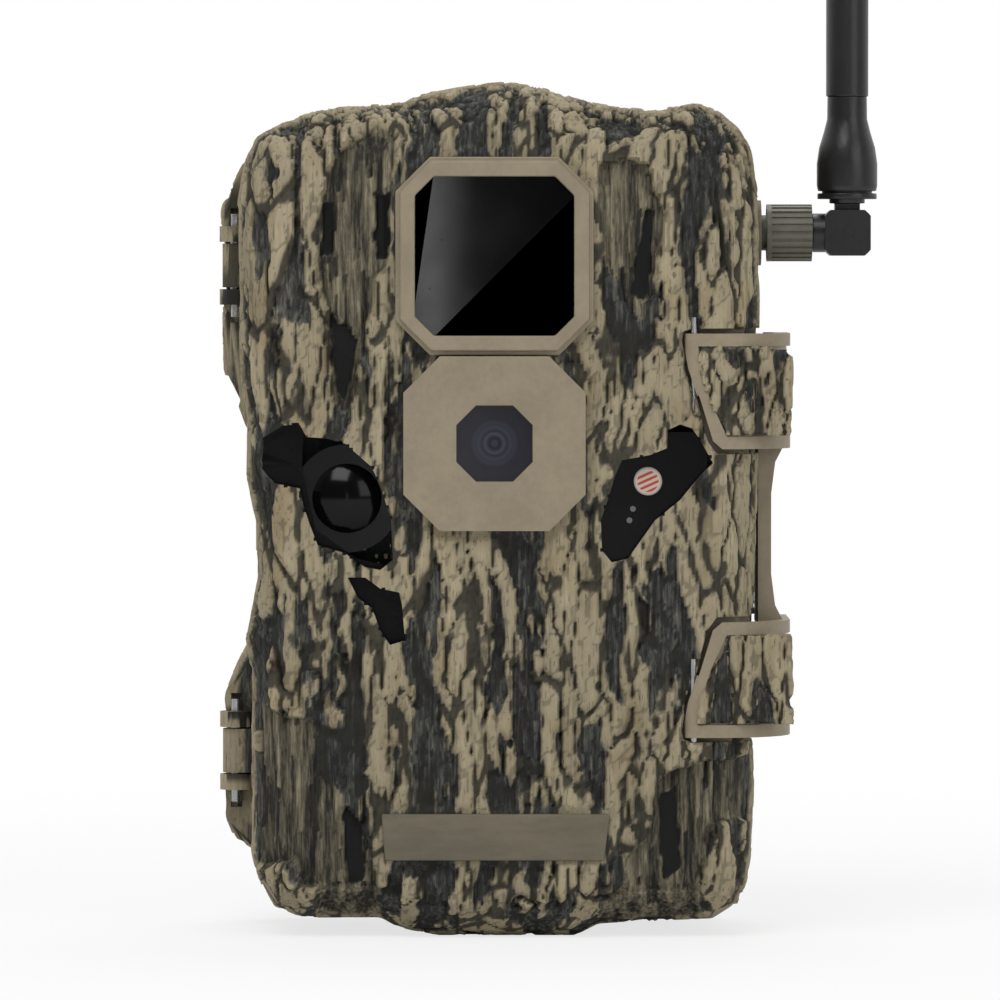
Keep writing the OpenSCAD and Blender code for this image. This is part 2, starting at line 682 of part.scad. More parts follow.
rear_levels = [[back_y, 3], [back_y - 1.5, 1], [back_y - 4, 0]];
module rear_housing() {
    color("#7d7663") {
        difference() {
            union() {
                difference() {
                    union() {
                        slab(rear_outline, part_y + door_gap / 2, back_y - 4);
                        loft([for (l = rear_levels) ring(drawn_in(rear_outline, l[1]), l[0])]);
                    }
                    slab(drawn_in(cover_outline, wall + 1.6), part_y - 1, back_y - wall);
                }
                translate([0, 0, 0]) cylinder(r = insert_r + 2.5, h = tripod_l + 4);
                for (p = bracket_spots) translate([p[0], 0, p[1]]) rod_y(3, back_y - wall - boss_d, back_y - 1);
                translate([jack_x - 6.5, -6.5, 4]) cube([13, 13, 2.5]);
            }
            translate([0, 0, -1]) cylinder(r = insert_r + seat_gap, h = tripod_l + 3.05);
            translate([jack_x, 0, -1]) cylinder(r = jack_r + slide_gap, h = 9);
            for (p = bracket_spots) translate([p[0], 0, p[1]])
                rod_y(1.3, back_y - wall - boss_d - 1, back_y + 1);
            translate([jack_x - 4.6 - seat_gap, -5.5 - seat_gap, 6.5])
                cube([9.2 + 2 * seat_gap, 11 + 2 * seat_gap, 8]);
            difference() {
                slab(drawn_in(cover_outline, seal_in - seat_gap), part_y, part_y + door_gap / 2 + seal_d + seat_gap);
                slab(drawn_in(cover_outline, seal_in + seal_w + seat_gap), part_y - 1, part_y + 4);
            }
            for (p = moving_spans) translate([hinge_x, hinge_y, p[0] - 0.3])
                cylinder(r = front_knuckle_r + 0.35, h = p[1] - p[0] + 0.6);
            for (p = fixed_spans) translate([hinge_x, hinge_y, p[0] - 1])
                cylinder(r = pin_r + 0.02, h = p[1] - p[0] + 2);
        }
        knuckles(knuckle_r, fixed_spans, pin_r + 0.02);
        keepers();
    }
}

module hinge_pins() {
    color("#9a9c9e") for (z = hinge_zs) translate([hinge_x, hinge_y, z - half_pitch - knuckle_l / 2])
        cylinder(r = pin_r, h = knuckle_pitch + knuckle_l);
}

module latch() {
    lip_x = keeper_x + 0.3;
    color("#878069") difference() {
        union() {
            for (side = [-1, 1]) {
                span = claw_pin_span(0, side);
                intersection() {
                    slab(claw_outline(0, side), latch_face_y - 1, latch_end_y);
                    latch_band(0, latch_t);
                }
                intersection() {
                    translate([latch_pin_x, latch_pin_y, span[0]])
                        cylinder(r = latch_nose_r, h = span[1] - span[0]);
                    slab(claw_outline(0.5, side), latch_face_y - 1, latch_end_y);
                }
                translate([lip_x, latch_end_y - 2.7, min(side * claw_lo, side * claw_hi) + latch_mid_z])
                    cube([latch_side_x - latch_t - lip_x + eps, 2.7, claw_h]);
            }
            translate([0, latch_end_y, 0]) rotate([90, 0, 0])
                linear_extrude(latch_end_y - latch_face_y - 13) polygon(grip_outline());
        }
        for (side = [-1, 1]) {
            span = claw_pin_span(0, side);
            difference() {
                translate([claw_tip_x - 3, latch_face_y - 1, span[0] - 0.5])
                    cube([latch_pin_x - claw_tip_x + 3, 5, span[1] - span[0] + 1]);
                translate([latch_pin_x, latch_pin_y, span[0] - 1])
                    cylinder(r = latch_nose_r, h = span[1] - span[0] + 2);
            }
            latch_bore(side, latch_pin_r + 0.08);
            intersection() {
                slab(claw_panel(side), latch_face_y - 2, latch_end_y - 2);
                latch_band(-3, 0.7);
            }
        }
    }
}

// the recessed field inside a claw's rim
function claw_panel(side) =
    let (lo = claw_lo + 2.2, hi = claw_hi - 2.2, k = claw_tip_x + 2)
    [for (p = [[k + 5, lo], [latch_side_x + 1, lo], [latch_side_x + 1, hi], [k, hi],
               [k + 0.6, hi - 4.5], [k + 2.2, hi - 9.5]]) [p[0], latch_mid_z + side * p[1]]];

function grip_outline() =
    let (s = latch_side_x, b = claw_lo + 1)
    [[s - 5.6, latch_mid_z - b], [s - 0.8, latch_mid_z - b], [s - 2.6, latch_mid_z - b + 3.5],
     [s - 3.3, latch_mid_z - 7], [s - 3.3, latch_mid_z + 7], [s - 2.6, latch_mid_z + b - 3.5],
     [s - 0.8, latch_mid_z + b], [s - 5.6, latch_mid_z + b]];

module latch_pins() {
    color("#9a9c9e") for (side = [-1, 1]) {
        span = claw_pin_span(2.8, side);
        translate([latch_pin_x, latch_pin_y, span[0]]) cylinder(r = latch_pin_r, h = span[1] - span[0]);
    }
}

module tripod_insert() {
    color("#b8943f") difference() {
        cylinder(r = insert_r, h = tripod_l + 2);
        translate([0, 0, -1]) cylinder(r = tripod_r, h = tripod_l + 1);
    }
}

module battery_tray() {
    color("#3c3f3b") difference() {
        translate([-tray_w / 2, tray_y, tray_z - tray_h / 2]) cube([tray_w, tray_d, tray_h]);
        for (c = [0 : cols - 1], r = [0 : rows - 1]) {
            x = (c - (cols - 1) / 2) * col_pitch;
            z = tray_z + (r - rows / 2) * row_pitch + 0.7;
            translate([x, cell_y, z]) cylinder(r = cell_d / 2 + 0.1, h = bay_l);
            translate([x - cell_d / 2 - 0.1, tray_y - 1, z]) cube([cell_d + 0.2, cell_y - tray_y + 1, bay_l]);
        }
    }
}

// runs its children once for each bay, with the spring end down in every second column
module bays() {
    for (c = [0 : cols - 1], r = [0 : rows - 1]) {
        x = (c - (cols - 1) / 2) * col_pitch;
        z = tray_z + (r - rows / 2) * row_pitch + 0.7;
        if (c % 2 == 0) translate([x, cell_y, z]) children();
        else translate([x, cell_y, z + bay_l]) mirror([0, 0, 1]) children();
    }
}

contact_t = 0.4;
module battery_contacts() {
    color("#c9c9c4") bays() {
        translate([-5, -5, 0]) cube([10, 10, contact_t]);
        translate([-5, -5, bay_l - contact_t]) cube([10, 10, contact_t]);
    }
}

wire_r = 0.4;
module battery_springs() {
    turns = 4;
    rise = (spring_l - contact_t - 0.1) / turns;
    zig = [for (i = [0 : 2 * turns]) [3.6 - i * 0.1 - (i % 2) * 0.9, contact_t + i * rise / 2]];
    back = turned([for (p = zig) [p[0] - 2 * wire_r, p[1]]]);
    color("#d0d0cc") bays() rotate_extrude() polygon(concat(zig, back));
}

module battery_cells() {
    color("#34383c") bays() {
        translate([0, 0, spring_l]) cylinder(r = cell_d / 2, h = cell_l - 1.2);
        translate([0, 0, spring_l + cell_l - 1.2 - eps]) cylinder(r = 2.7, h = 1.2);
    }
}

module tree_bracket() {
    x0 = -bracket_w / 2;
    z0 = bracket_z - bracket_h / 2;
    color("#6f6a59") difference() {
        union() {
            translate([x0, back_y, z0]) cube([bracket_w, bracket_t, bracket_h]);
            for (s = [-1, 1]) translate([s * (bracket_w - rail_w) / 2 - rail_w / 2, back_y, z0])
                cube([rail_w, rail_d, bracket_h]);
        }
        translate([x0 - 1, back_y + bracket_t + 0.4, bracket_z - strap_w / 2 - 4])
            cube([bracket_w + 2, strap_t, strap_w]);
        translate([0, lock_y, lock_z]) rod_x(lock_r, x0 - 1, -x0 + 1);
        for (p = bracket_spots) translate([p[0], 0, p[1]]) rod_y(1.6, back_y - 1, back_y + 5);
        // grooves that bite into the trunk
        for (s = [-1, 1], i = [-3 : 3]) translate([s * (bracket_w - rail_w) / 2, back_y + rail_d + 0.6, bracket_z + i * 12])
            rotate([45, 0, 0]) cube([rail_w + 2, 2.4, 2.4], center = true);
    }
}

module bracket_screws() {
    color("#8c8f92") for (p = bracket_spots) translate([p[0], 0, p[1]]) difference() {
        union() {
            rod_y(1.25, back_y - wall - 1.5, back_y + bracket_t + 1);
            rod_y(2.9, back_y + bracket_t, back_y + bracket_t + 1.8);
        }
        translate([-1.8, back_y + bracket_t + 1, -0.35]) cube([3.6, 2, 0.7]);
        translate([-0.35, back_y + bracket_t + 1, -1.8]) cube([0.7, 2, 3.6]);
    }
}

module dc_jack() {
    color("#1a1a1a") translate([jack_x, 0, 6.5]) {
        difference() {
            translate([-4.6, -5.5, 0]) cube([9.2, 11, 9]);
            translate([0, 0, -1]) cylinder(r = 3.2, h = 8);
        }
        translate([0, 0, 1]) cylinder(r = 1, h = 7);
    }
}

module jack_cap() {
    color("#1b1b1b") {
        translate([jack_x - 6, -5.5, flap_z]) cube([13, 11, flap_t]);
        translate([jack_x + 7, 0, flap_z + flap_t / 2]) rod_y(flap_t / 2, -5.5, 5.5);
        translate([jack_x, 0, flap_z + flap_t - eps]) cylinder(r = jack_r - 0.6, h = 3);
    }
}

front_shell();
window_frame();
flash_window();
flash_board();
flash_leds();
lens_bezel();
lens_window();
lens_holder();
lens_barrel();
lens_glass();
sensor_board();
image_sensor();
motion_lens();
motion_sensor();
sensor_window();
photocell();
status_leds();
main_board();
modem_module();
sim_socket();
inner_panel();
screen();
key(0);  // button_up
key(1);  // button_down
key(2);  // button_left
key(3);  // button_right
key(4);  // button_ok
key(5);  // button_menu
power_switch();
card_socket();
memory_card();
panel_screws();
front_plate();
antenna_jack();
antenna_nut();
antenna_elbow();
antenna_pin();
antenna_boot();
antenna_tube();
door_seal();
rear_housing();
hinge_pins();
latch();
latch_pins();
tripod_insert();
battery_tray();
battery_cells();
battery_springs();
battery_contacts();
tree_bracket();
bracket_screws();
dc_jack();
jack_cap();
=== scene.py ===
"""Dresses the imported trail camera: bark relief, moulded plastic, glass, and the stage it stands on."""
import json
import math

import bmesh
import bpy
import numpy as np
from bpy.props import FloatProperty, FloatVectorProperty, IntProperty, PointerProperty
from mathutils import Matrix, Vector, kdtree


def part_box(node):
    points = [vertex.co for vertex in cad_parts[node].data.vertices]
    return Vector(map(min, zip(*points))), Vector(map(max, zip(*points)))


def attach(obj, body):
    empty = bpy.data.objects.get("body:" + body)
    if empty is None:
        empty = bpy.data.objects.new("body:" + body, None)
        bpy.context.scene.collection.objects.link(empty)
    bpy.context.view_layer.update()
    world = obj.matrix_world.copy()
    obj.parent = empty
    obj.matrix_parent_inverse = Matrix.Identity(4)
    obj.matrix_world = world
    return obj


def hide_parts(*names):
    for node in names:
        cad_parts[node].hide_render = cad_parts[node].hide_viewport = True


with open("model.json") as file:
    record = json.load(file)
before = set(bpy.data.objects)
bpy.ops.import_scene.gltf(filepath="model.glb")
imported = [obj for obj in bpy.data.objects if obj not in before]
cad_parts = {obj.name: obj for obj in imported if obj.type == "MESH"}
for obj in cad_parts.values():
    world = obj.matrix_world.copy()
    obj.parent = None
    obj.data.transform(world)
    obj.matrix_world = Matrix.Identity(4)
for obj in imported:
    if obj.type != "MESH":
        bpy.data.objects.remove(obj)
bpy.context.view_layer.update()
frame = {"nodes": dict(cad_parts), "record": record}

bl_info = {
    "name": "Bark trail camera",
    "version": (1, 0, 0),
    "blender": (4, 5, 0),
    "location": "View3D > Sidebar > Trail camera",
    "description": "Dresses a trail camera in moulded bark and camouflage print",
    "category": "Object",
}

MM = 0.001
BODY_OF = {node: body for body, nodes in frame["record"]["behaviour"]["bodies"].items() for node in nodes}

# planes of the housing in millimetres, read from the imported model
COVER_LO, COVER_HI = (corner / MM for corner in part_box("front_shell"))
REAR_LO, REAR_HI = (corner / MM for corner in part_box("rear_housing"))
FRAME_LO, FRAME_HI = (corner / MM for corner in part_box("window_frame"))
LENS_LO, LENS_HI = (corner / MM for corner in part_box("lens_bezel"))
LATCH_LO, LATCH_HI = (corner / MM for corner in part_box("latch"))
FACE_Y = COVER_LO.y
RIM_Y = REAR_LO.y
BACK_Y = REAR_HI.y
EDGE_R = 9.0
MID_Z = 74.0
HALF_W = 46.0


# ---- shader writing ----

class Value:
    """A shader socket that writes Math nodes when it is used in an expression."""

    def __init__(self, finish, socket):
        self.finish, self.socket = finish, socket

    def math(self, operation, *others, clamp=False):
        return self.finish.math(operation, self, *others, clamp=clamp)

    def __add__(self, other):
        return self.math("ADD", other)

    def __sub__(self, other):
        return self.math("SUBTRACT", other)

    def __rsub__(self, other):
        return self.finish.math("SUBTRACT", other, self)

    def __mul__(self, other):
        return self.math("MULTIPLY", other)

    __radd__, __rmul__ = __add__, __mul__

    def step(self, low, high):
        """0 below low, 1 above high, and smooth between."""
        node = self.finish.node("ShaderNodeMapRange", {"interpolation_type": "SMOOTHSTEP", "clamp": True},
                                {"Value": self, "From Min": low, "From Max": high})
        return Value(self.finish, node.outputs["Result"])


class Finish:
    """A material under construction."""

    def __init__(self, name):
        self.material = bpy.data.materials.new(name)
        self.material.use_nodes = True
        self.tree = self.material.node_tree
        self.tree.nodes.clear()

    def node(self, kind, settings=None, values=None):
        made = self.tree.nodes.new(kind)
        for key, value in (settings or {}).items():
            setattr(made, key, value)
        for key, value in (values or {}).items():
            self.feed(made.inputs[key], value)
        return made

    def feed(self, socket, value):
        if isinstance(value, Value):
            value = value.socket
        if isinstance(value, bpy.types.NodeSocket):
            self.tree.links.new(value, socket)
        elif isinstance(value, (tuple, list)) and socket.type == "RGBA":
            socket.default_value = (*value[:3], 1.0)
        else:
            socket.default_value = value

    def math(self, operation, *operands, clamp=False):
        made = self.node("ShaderNodeMath", {"operation": operation, "use_clamp": clamp},
                         dict(enumerate(operands)))
        return Value(self, made.outputs[0])

    def place(self, stretch=(1, 1, 1), turn=(0, 0, 0)):
        """Object coordinates in millimetres, stretched."""
        where = self.node("ShaderNodeTexCoord").outputs["Object"]
        scale = [1 / (MM * s) for s in stretch]
        return self.node("ShaderNodeMapping", {}, {"Vector": where, "Scale": scale, "Rotation": turn}).outputs[0]

    def noise(self, size, detail=3.0, rough=0.55, stretch=(1, 1, 1), warp=0.0):
        sized = [size * s for s in stretch]
        made = self.node("ShaderNodeTexNoise", {}, {"Vector": self.place(sized), "Scale": 1.0,
                         "Detail": detail, "Roughness": rough, "Distortion": warp})
        return Value(self, made.outputs["Fac"])

    def attribute(self, name):
        made = self.node("ShaderNodeAttribute", {"attribute_name": name})
        return Value(self, made.outputs["Fac"])

    def mix(self, factor, first, second, blend="MIX"):
        made = self.node("ShaderNodeMix", {"data_type": "RGBA", "blend_type": blend},
                         {0: factor, 6: first, 7: second})
        return made.outputs[2]

    def ramp(self, value, stops):
        made = self.node("ShaderNodeValToRGB", {}, {"Fac": value})
        elements = made.color_ramp.elements
        while len(elements) < len(stops):
            elements.new(0.5)
        for element, (at, colour) in zip(elements, stops):
            element.position = at
            element.color = (*colour, 1.0)
        return made.outputs["Color"]

    def bump(self, height, depth, strength=1.0):
        made = self.node("ShaderNodeBump", {}, {"Strength": strength, "Distance": depth * MM, "Height": height})
        return made.outputs["Normal"]

    def surface(self, **inputs):
        named = {key.replace("_", " ").title().replace("Ior", "IOR"): value for key, value in inputs.items()}
        shader = self.node("ShaderNodeBsdfPrincipled", {}, named)
        self.node("ShaderNodeOutputMaterial", {}, {"Surface": shader.outputs[0]})
        return self.material


def srgb(*levels):
    """Linear colour from 0 to 255 display levels."""
    return tuple(((c / 255 + 0.055) / 1.055) ** 2.4 if c > 10 else c / 255 / 12.92 for c in levels)


# ---- bark field ----

COVER_OUTLINE = [
    (-41.9, 14), (-40.7, 9), (-38.4, 5), (-34, 3), (-20, 3.1), (-16.5, 1.2), (-10, 0), (14.2, 0), (18.1, 2),
    (26, 2.4), (38, 2.9), (41.6, 5.2), (43.3, 9.6), (44.2, 16), (44.8, 27), (44.6, 34), (45.2, 72), (45.5, 105),
    (45.8, 121), (45.3, 130), (44.4, 137), (42.4, 140.3), (39.1, 143.2), (35.5, 144.8), (32, 144.1),
    (26.8, 143), (17.9, 144.4), (14, 145.4), (8, 147.3), (1, 148), (-6, 147.2), (-13, 146), (-16.4, 144.6),
    (-23.4, 143.8), (-30.3, 143.3), (-37.2, 140.8), (-41.2, 138.8), (-43.1, 134), (-44.2, 127.8), (-44, 98.2),
    (-42.5, 90), (-42.8, 80.2), (-41.1, 72), (-40.9, 62.2), (-43, 52.1), (-41.8, 44.2)]
REAR_OUTLINE = [
    (-46.9, 19), (-45.5, 15.5), (-41, 13), (-39.5, 8), (-37, 4.5), (-19, 3.4), (-16, 0), (14.5, 0), (18, 2.6),
    (37, 3.8), (41, 6.5), (43.2, 16), (43.8, 36), (44.2, 72), (44.4, 104), (44.6, 121), (43.7, 133),
    (41.1, 139), (36, 142.5), (27, 141.5), (15, 143.6), (7.8, 145.5), (1, 146.2), (-8, 145.3), (-16.1, 143),
    (-30, 141.8), (-38, 139.3), (-44, 134.5), (-47.4, 127), (-47.2, 98), (-44.5, 92.5), (-42.1, 86),
    (-40.6, 74), (-40.4, 60.5), (-41.9, 52.2), (-45, 46), (-47, 41)]
LEFT_EYE = [
    (-42, 83.6), (-40.2, 86.9), (-36.6, 89.1), (-33.7, 89.3), (-32.5, 87.1), (-29.3, 86.9), (-25.9, 86),
    (-21.2, 81.9), (-19.5, 77.9), (-17.9, 72.7), (-17.6, 65.8), (-19.8, 64.1), (-22.4, 64.6), (-25.9, 67),
    (-30.6, 68.4), (-31.9, 71.8), (-33.1, 75.3), (-33.7, 78.2), (-38, 79.1), (-40.2, 81.4)]
RIGHT_EYE = [
    (22.1, 83.1), (26.9, 84), (29.9, 85.2), (30, 88.3), (32.1, 89.3), (34.2, 88.6), (35.6, 86.6), (37.8, 82.6),
    (35.6, 80.5), (32.1, 76.2), (27.8, 72.7), (23.1, 66.1), (20.3, 65.4), (18.6, 67.5), (18.4, 72.7),
    (19.6, 76.2), (20.9, 80.5)]
SMALL_CAVITY = [
    (-25.4, 62.8), (-22.4, 62.8), (-19.8, 60.9), (-16.5, 60.2), (-16, 58), (-15.5, 51.9), (-18.1, 51.1),
    (-19.8, 53.7), (-21.2, 57.5), (-23.6, 59.2)]
# sunk areas of the face that show straight planks, and how deep each is
SUNK = [
    ([(-27.6, 135.5), (-30.2, 128.1), (-30.55, 115.1), (-28.8, 108.8), (-28, 94.8), (-26.1, 90.4),
      (-24.8, 92.2), (-22.2, 103), (-20.7, 113.8), (-18.1, 118.1), (-17.4, 130.7), (-17.2, 139.3),
      (-20.7, 141.5), (-25.9, 137.6)], 1.7),
    ([(17.9, 135), (17.9, 127.2), (19.5, 118.1), (21.7, 113.4), (23.8, 107), (26.1, 107.3), (27.3, 113.4),
      (29.2, 125.5), (27.8, 130.7), (26.1, 135)], 1.8),
    ([(-44, 41.5), (-34.6, 38.4), (-30.6, 37.5), (-31, 29), (-26.1, 25.9), (-24.3, 21.4), (-21.6, 17),
      (-19.9, 3.6), (-23.3, 2), (-30.6, 3.1), (-31.1, 8.3), (-33.7, 9), (-35.4, 12.5), (-44, 12)], 1.9),
    ([(46, 31.7), (35.6, 30.8), (30, 29.4), (27.8, 26.8), (27.8, 22.5), (26.1, 17.7), (24.3, 16.4),
      (22.6, 13.8), (22.4, 9.5), (18.8, 6.1), (18.3, 2), (35.6, 2), (37.5, 20), (46, 21)], 1.9)]
# pits inside the sunk areas, cut in and coloured near black as painted shade
PITS = [
    [(-30.2, 118.6), (-27.6, 118.6), (-27.6, 128.1), (-30.2, 128.1)],
    [(-28.6, 109), (-23.6, 104), (-24.4, 98), (-25.6, 93), (-27.6, 95.5), (-28.3, 103)],
    [(-20.7, 118), (-18, 118), (-18, 129.4), (-20.7, 129.4)],
    [(23.4, 112), (26, 110.5), (27.4, 118), (27.6, 126), (25.6, 127)],
    [(-26.5, 24.5), (-22.8, 20.5), (-22.2, 10), (-25.5, 8)],
    [(28.5, 25), (31.5, 27), (32.5, 12), (28.6, 9)]]


def smooth(value, low, high):
    t = np.clip((value - low) / (high - low), 0, 1)
    return t * t * (3 - 2 * t)


def hashed(ix, iy, iz, seed):
    """A repeatable number from 0 to 1 for every cell of a lattice."""
    h = (ix * 73856093) ^ (iy * 19349663) ^ (iz * 83492791) ^ (seed * 40503)
    h = ((h ^ (h >> 13)) * 1274126177) & 0xFFFFFFFF
    h = ((h ^ (h >> 15)) * 668265263) & 0xFFFFFFFF
    return ((h ^ (h >> 16)) & 0xFFFFFF) / 0xFFFFFF


def value_noise(where, cell, seed):
    """Smooth noise from 0 to 1 over lattice cells of the given size."""
    at = where / np.asarray(cell, float)
    base = np.floor(at).astype(np.int64)
    part = at - base
    part = part * part * (3 - 2 * part)
    total = np.zeros(len(where))
    for dx in (0, 1):
        for dy in (0, 1):
            for dz in (0, 1):
                weight = ((part[:, 0] if dx else 1 - part[:, 0]) * (part[:, 1] if dy else 1 - part[:, 1])
                          * (part[:, 2] if dz else 1 - part[:, 2]))
                total += weight * hashed(base[:, 0] + dx, base[:, 1] + dy, base[:, 2] + dz, seed)
    return total


def layered(where, cell, seed, octaves=3):
    """Several octaves of value noise, from 0 to 1."""
    total, weight, size = 0, 0, np.asarray(cell, float)
    for octave in range(octaves):
        total = total + value_noise(where, size / 2 ** octave, seed + octave * 17) / 2 ** octave
        weight += 1 / 2 ** octave
    return total / weight


def plates(where, cell, seed):
    """Distance into a cell from its border, in cell widths, and the cell's own number."""
    at = where / np.asarray(cell, float)
    base = np.floor(at).astype(np.int64)
    near = np.full(len(where), 9.0)
    second = np.full(len(where), 9.0)
    number = np.zeros(len(where))
    for dx in (-1, 0, 1):
        for dy in (-1, 0, 1):
            for dz in (-1, 0, 1):
                cx, cy, cz = base[:, 0] + dx, base[:, 1] + dy, base[:, 2] + dz
                gap = ((cx + hashed(cx, cy, cz, seed) - at[:, 0]) ** 2
                       + (cy + hashed(cx, cy, cz, seed + 1) - at[:, 1]) ** 2
                       + (cz + hashed(cx, cy, cz, seed + 2) - at[:, 2]) ** 2) ** 0.5
                closer = gap < near
                second = np.where(closer, near, np.minimum(second, gap))
                number = np.where(closer, hashed(cx, cy, cz, seed + 3), number)
                near = np.where(closer, gap, near)
    return second - near, number


def inside_by(x, z, outline):
    """Distance in millimetres inside a closed outline, negative outside."""
    gap = np.full(len(x), 1e9)
    inside = np.zeros(len(x), bool)
    for (x0, z0), (x1, z1) in zip(outline, outline[1:] + outline[:1]):
        dx, dz = x1 - x0, z1 - z0
        t = np.clip(((x - x0) * dx + (z - z0) * dz) / (dx * dx + dz * dz), 0, 1)
        gap = np.minimum(gap, np.hypot(x - x0 - t * dx, z - z0 - t * dz))
        if z0 != z1:
            crosses = (z0 > z) != (z1 > z)
            inside ^= crosses & (x < dx * (z - z0) / dz + x0)
    return np.where(inside, gap, -gap)


def octagon(width, height, cut, x=0.0, z=0.0):
    w, h = width / 2, height / 2
    corners = [(w - cut, -h), (w, -h + cut), (w, h - cut), (w - cut, h), (-w + cut, h), (-w, h - cut),
               (-w, -h + cut), (-w + cut, -h)]
    return [(x + cx, z + cz) for cx, cz in corners]


def bark(where, normal, settings, front):
    """Height of the bark over the plain shell in millimetres, and what its finish follows."""
    x, y, z = where.T
    sway = np.stack([layered(where, (15, 15, 24), 5, 2), layered(where, (15, 15, 24), 7, 2),
                     layered(where, (9, 9, 15), 9, 2)], 1) - 0.5
    jag = np.stack([layered(where, (2.2, 2.2, 3.4), 11, 2), layered(where, (2.2, 2.2, 3.4), 13, 2),
                    np.full(len(x), 0.5)], 1) - 0.5
    bent = where + sway * (8, 8, 10) + jag * (1.5, 1.5, 0)
    width, length = settings.plate_width / MM, settings.plate_length / MM
    broad = layered(bent, (width * 1.15, width * 1.15, length * 1.3), 21, 3)
    edge, number = plates(bent, (width, width, length), 31)
    thin, thin_number = plates(bent + 40, (width * 0.42, width * 0.42, length * 0.38), 41)
    fine = layered(where, (0.9, 0.9, 2.6), 51, 2)
    high = smooth(broad + 0.20 * (number - 0.5), 0.40, 0.47)
    cleft = 1 - smooth(edge, 0.03, 0.17)
    nick = 1 - smooth(thin, 0.02, 0.16)
    height = -0.7 + high * (0.95 + 0.5 * number) - cleft * (0.25 + 0.5 * high) - nick * (0.35 - 0.2 * high)
    height += (fine - 0.5) * (0.42 - 0.2 * high) + (layered(where, (13, 13, 30), 61, 2) - 0.5) * 0.9

    face = height
    sunk = np.zeros(len(x))
    pit_depth_and_painted_shade = np.zeros(len(x))
    if front:
        ragged = (layered(where, (1.6, 1.6, 2.6), 71, 2) - 0.5) * 1.8
        facing = smooth(-normal[:, 1], 0.15, 0.5)
        for outline, deep in SUNK:
            sunk = np.maximum(sunk, smooth(inside_by(x, z, outline) + ragged, -0.3, 0.5) * deep * facing)
        for outline in PITS:
            pit_depth_and_painted_shade = np.maximum(pit_depth_and_painted_shade, smooth(inside_by(x, z, outline) + ragged * 0.8, -0.2, 0.5) * facing)
        _, plank = plates(where * (1, 1, 1) + sway * 2, (1.25, 3.0, 17), 81)
        floor = (plank - 0.5) * 0.9
        share = np.clip(sunk / 1.2, 0, 1)
        height = height * (1 - share) + share * floor
        face = height
        height = height - sunk - pit_depth_and_painted_shade * 1.2
        # bark lies back round the moulded frames, the plate and the cavities
        for outline, keep in ((octagon(36.6, 36.6, 7, 0, (FRAME_LO.z + FRAME_HI.z) / 2), 1.0),
                              (octagon(33.6, 32.4, 7, 0, (LENS_LO.z + LENS_HI.z) / 2), 1.0),
                              (octagon(42, 9.6, 1.5, 0.4, 17.75), 0.6)):
            near = smooth(inside_by(x, z, outline), -keep, keep * 0.6)
            height = height * (1 - near) - 0.1 * near
        lip = 0.0
        for outline in (LEFT_EYE, RIGHT_EYE, SMALL_CAVITY):
            away = -inside_by(x, z, outline)
            lip = np.maximum(lip, np.exp(-(np.clip(away, 0, 9) / 1.3) ** 2) * facing)
        height = height * (1 - 0.6 * lip) + 0.45 * lip
    parting = smooth(np.abs(y - RIM_Y), 0.4, 2.4)
    height = np.where(height > 0, height * parting, height * (0.35 + 0.65 * parting))
    height = np.maximum(height * settings.relief, -2.5)
    # the base stays flat enough to stand on
    height = np.where(normal[:, 2] < -0.4, np.minimum(height, 0) * 0.5, height)
    return height, {
        "ridge": np.clip((face + 1.1) / 2.2, 0, 1),
        "rise": high, "tone": number * 0.6 + thin_number * 0.4,
        "cleft": np.clip(cleft, 0, 1), "nick": nick,
        "sunk": np.clip(np.maximum(sunk / 1.8, 0), 0, 1), "pit_depth_and_painted_shade": pit_depth_and_painted_shade}


# ---- mesh making ----

def prism(outline, y0, y1):
    """A closed block between two planes across y, from an outline in x and z."""
    bm = bmesh.new()
    verts = [bm.verts.new((x * MM, y1 * MM, z * MM)) for x, z in outline]
    face = bm.faces.new(verts)
    grown = bmesh.ops.extrude_face_region(bm, geom=[face])["geom"]
    bmesh.ops.translate(bm, vec=(0, (y0 - y1) * MM, 0), verts=[v for v in grown if isinstance(v, bmesh.types.BMVert)])
    bmesh.ops.recalc_face_normals(bm, faces=bm.faces)
    return bm


def box_block(low, high):
    bm = bmesh.new()
    bmesh.ops.create_cube(bm, size=1)
    size = [(b - a) * MM for a, b in zip(low, high)]
    bmesh.ops.scale(bm, vec=size, verts=bm.verts)
    bmesh.ops.translate(bm, vec=[(a + b) / 2 * MM for a, b in zip(low, high)], verts=bm.verts)
    return bm


def rod(centre, radius, low, high, axis="X", sides=48):
    bm = bmesh.new()
    turn = {"X": Matrix.Rotation(math.pi / 2, 4, "Y"), "Y": Matrix.Rotation(math.pi / 2, 4, "X"),
            "Z": Matrix.Identity(4)}[axis]
    at = {"X": ((low + high) / 2, *centre), "Y": (centre[0], (low + high) / 2, centre[1]),
          "Z": (*centre, (low + high) / 2)}[axis]
    bmesh.ops.create_cone(bm, cap_ends=True, segments=sides, radius1=radius * MM, radius2=radius * MM,
                          depth=(high - low) * MM, matrix=Matrix.Translation(Vector(at) * MM) @ turn)
    return bm


def placed(bm, name):
    """An object at the origin that holds the mesh."""
    mesh = bpy.data.meshes.new(name)
    bm.to_mesh(mesh)
    bm.free()
    if "custom_normal" in mesh.attributes:
        mesh.attributes.remove(mesh.attributes["custom_normal"])
    piece = bpy.data.objects.new(name, mesh)
    bpy.context.scene.collection.objects.link(piece)
    return piece


def cad_copy(node, flat=0.02):
    """A bmesh of a CAD node with its loose triangles merged and its flat areas whole."""
    bm = bmesh.new()
    bm.from_mesh(frame["nodes"][node].data)
    bmesh.ops.remove_doubles(bm, verts=bm.verts, dist=1e-6)
    if flat:
        bmesh.ops.dissolve_limit(bm, angle_limit=flat, verts=bm.verts, edges=bm.edges)
    return bm


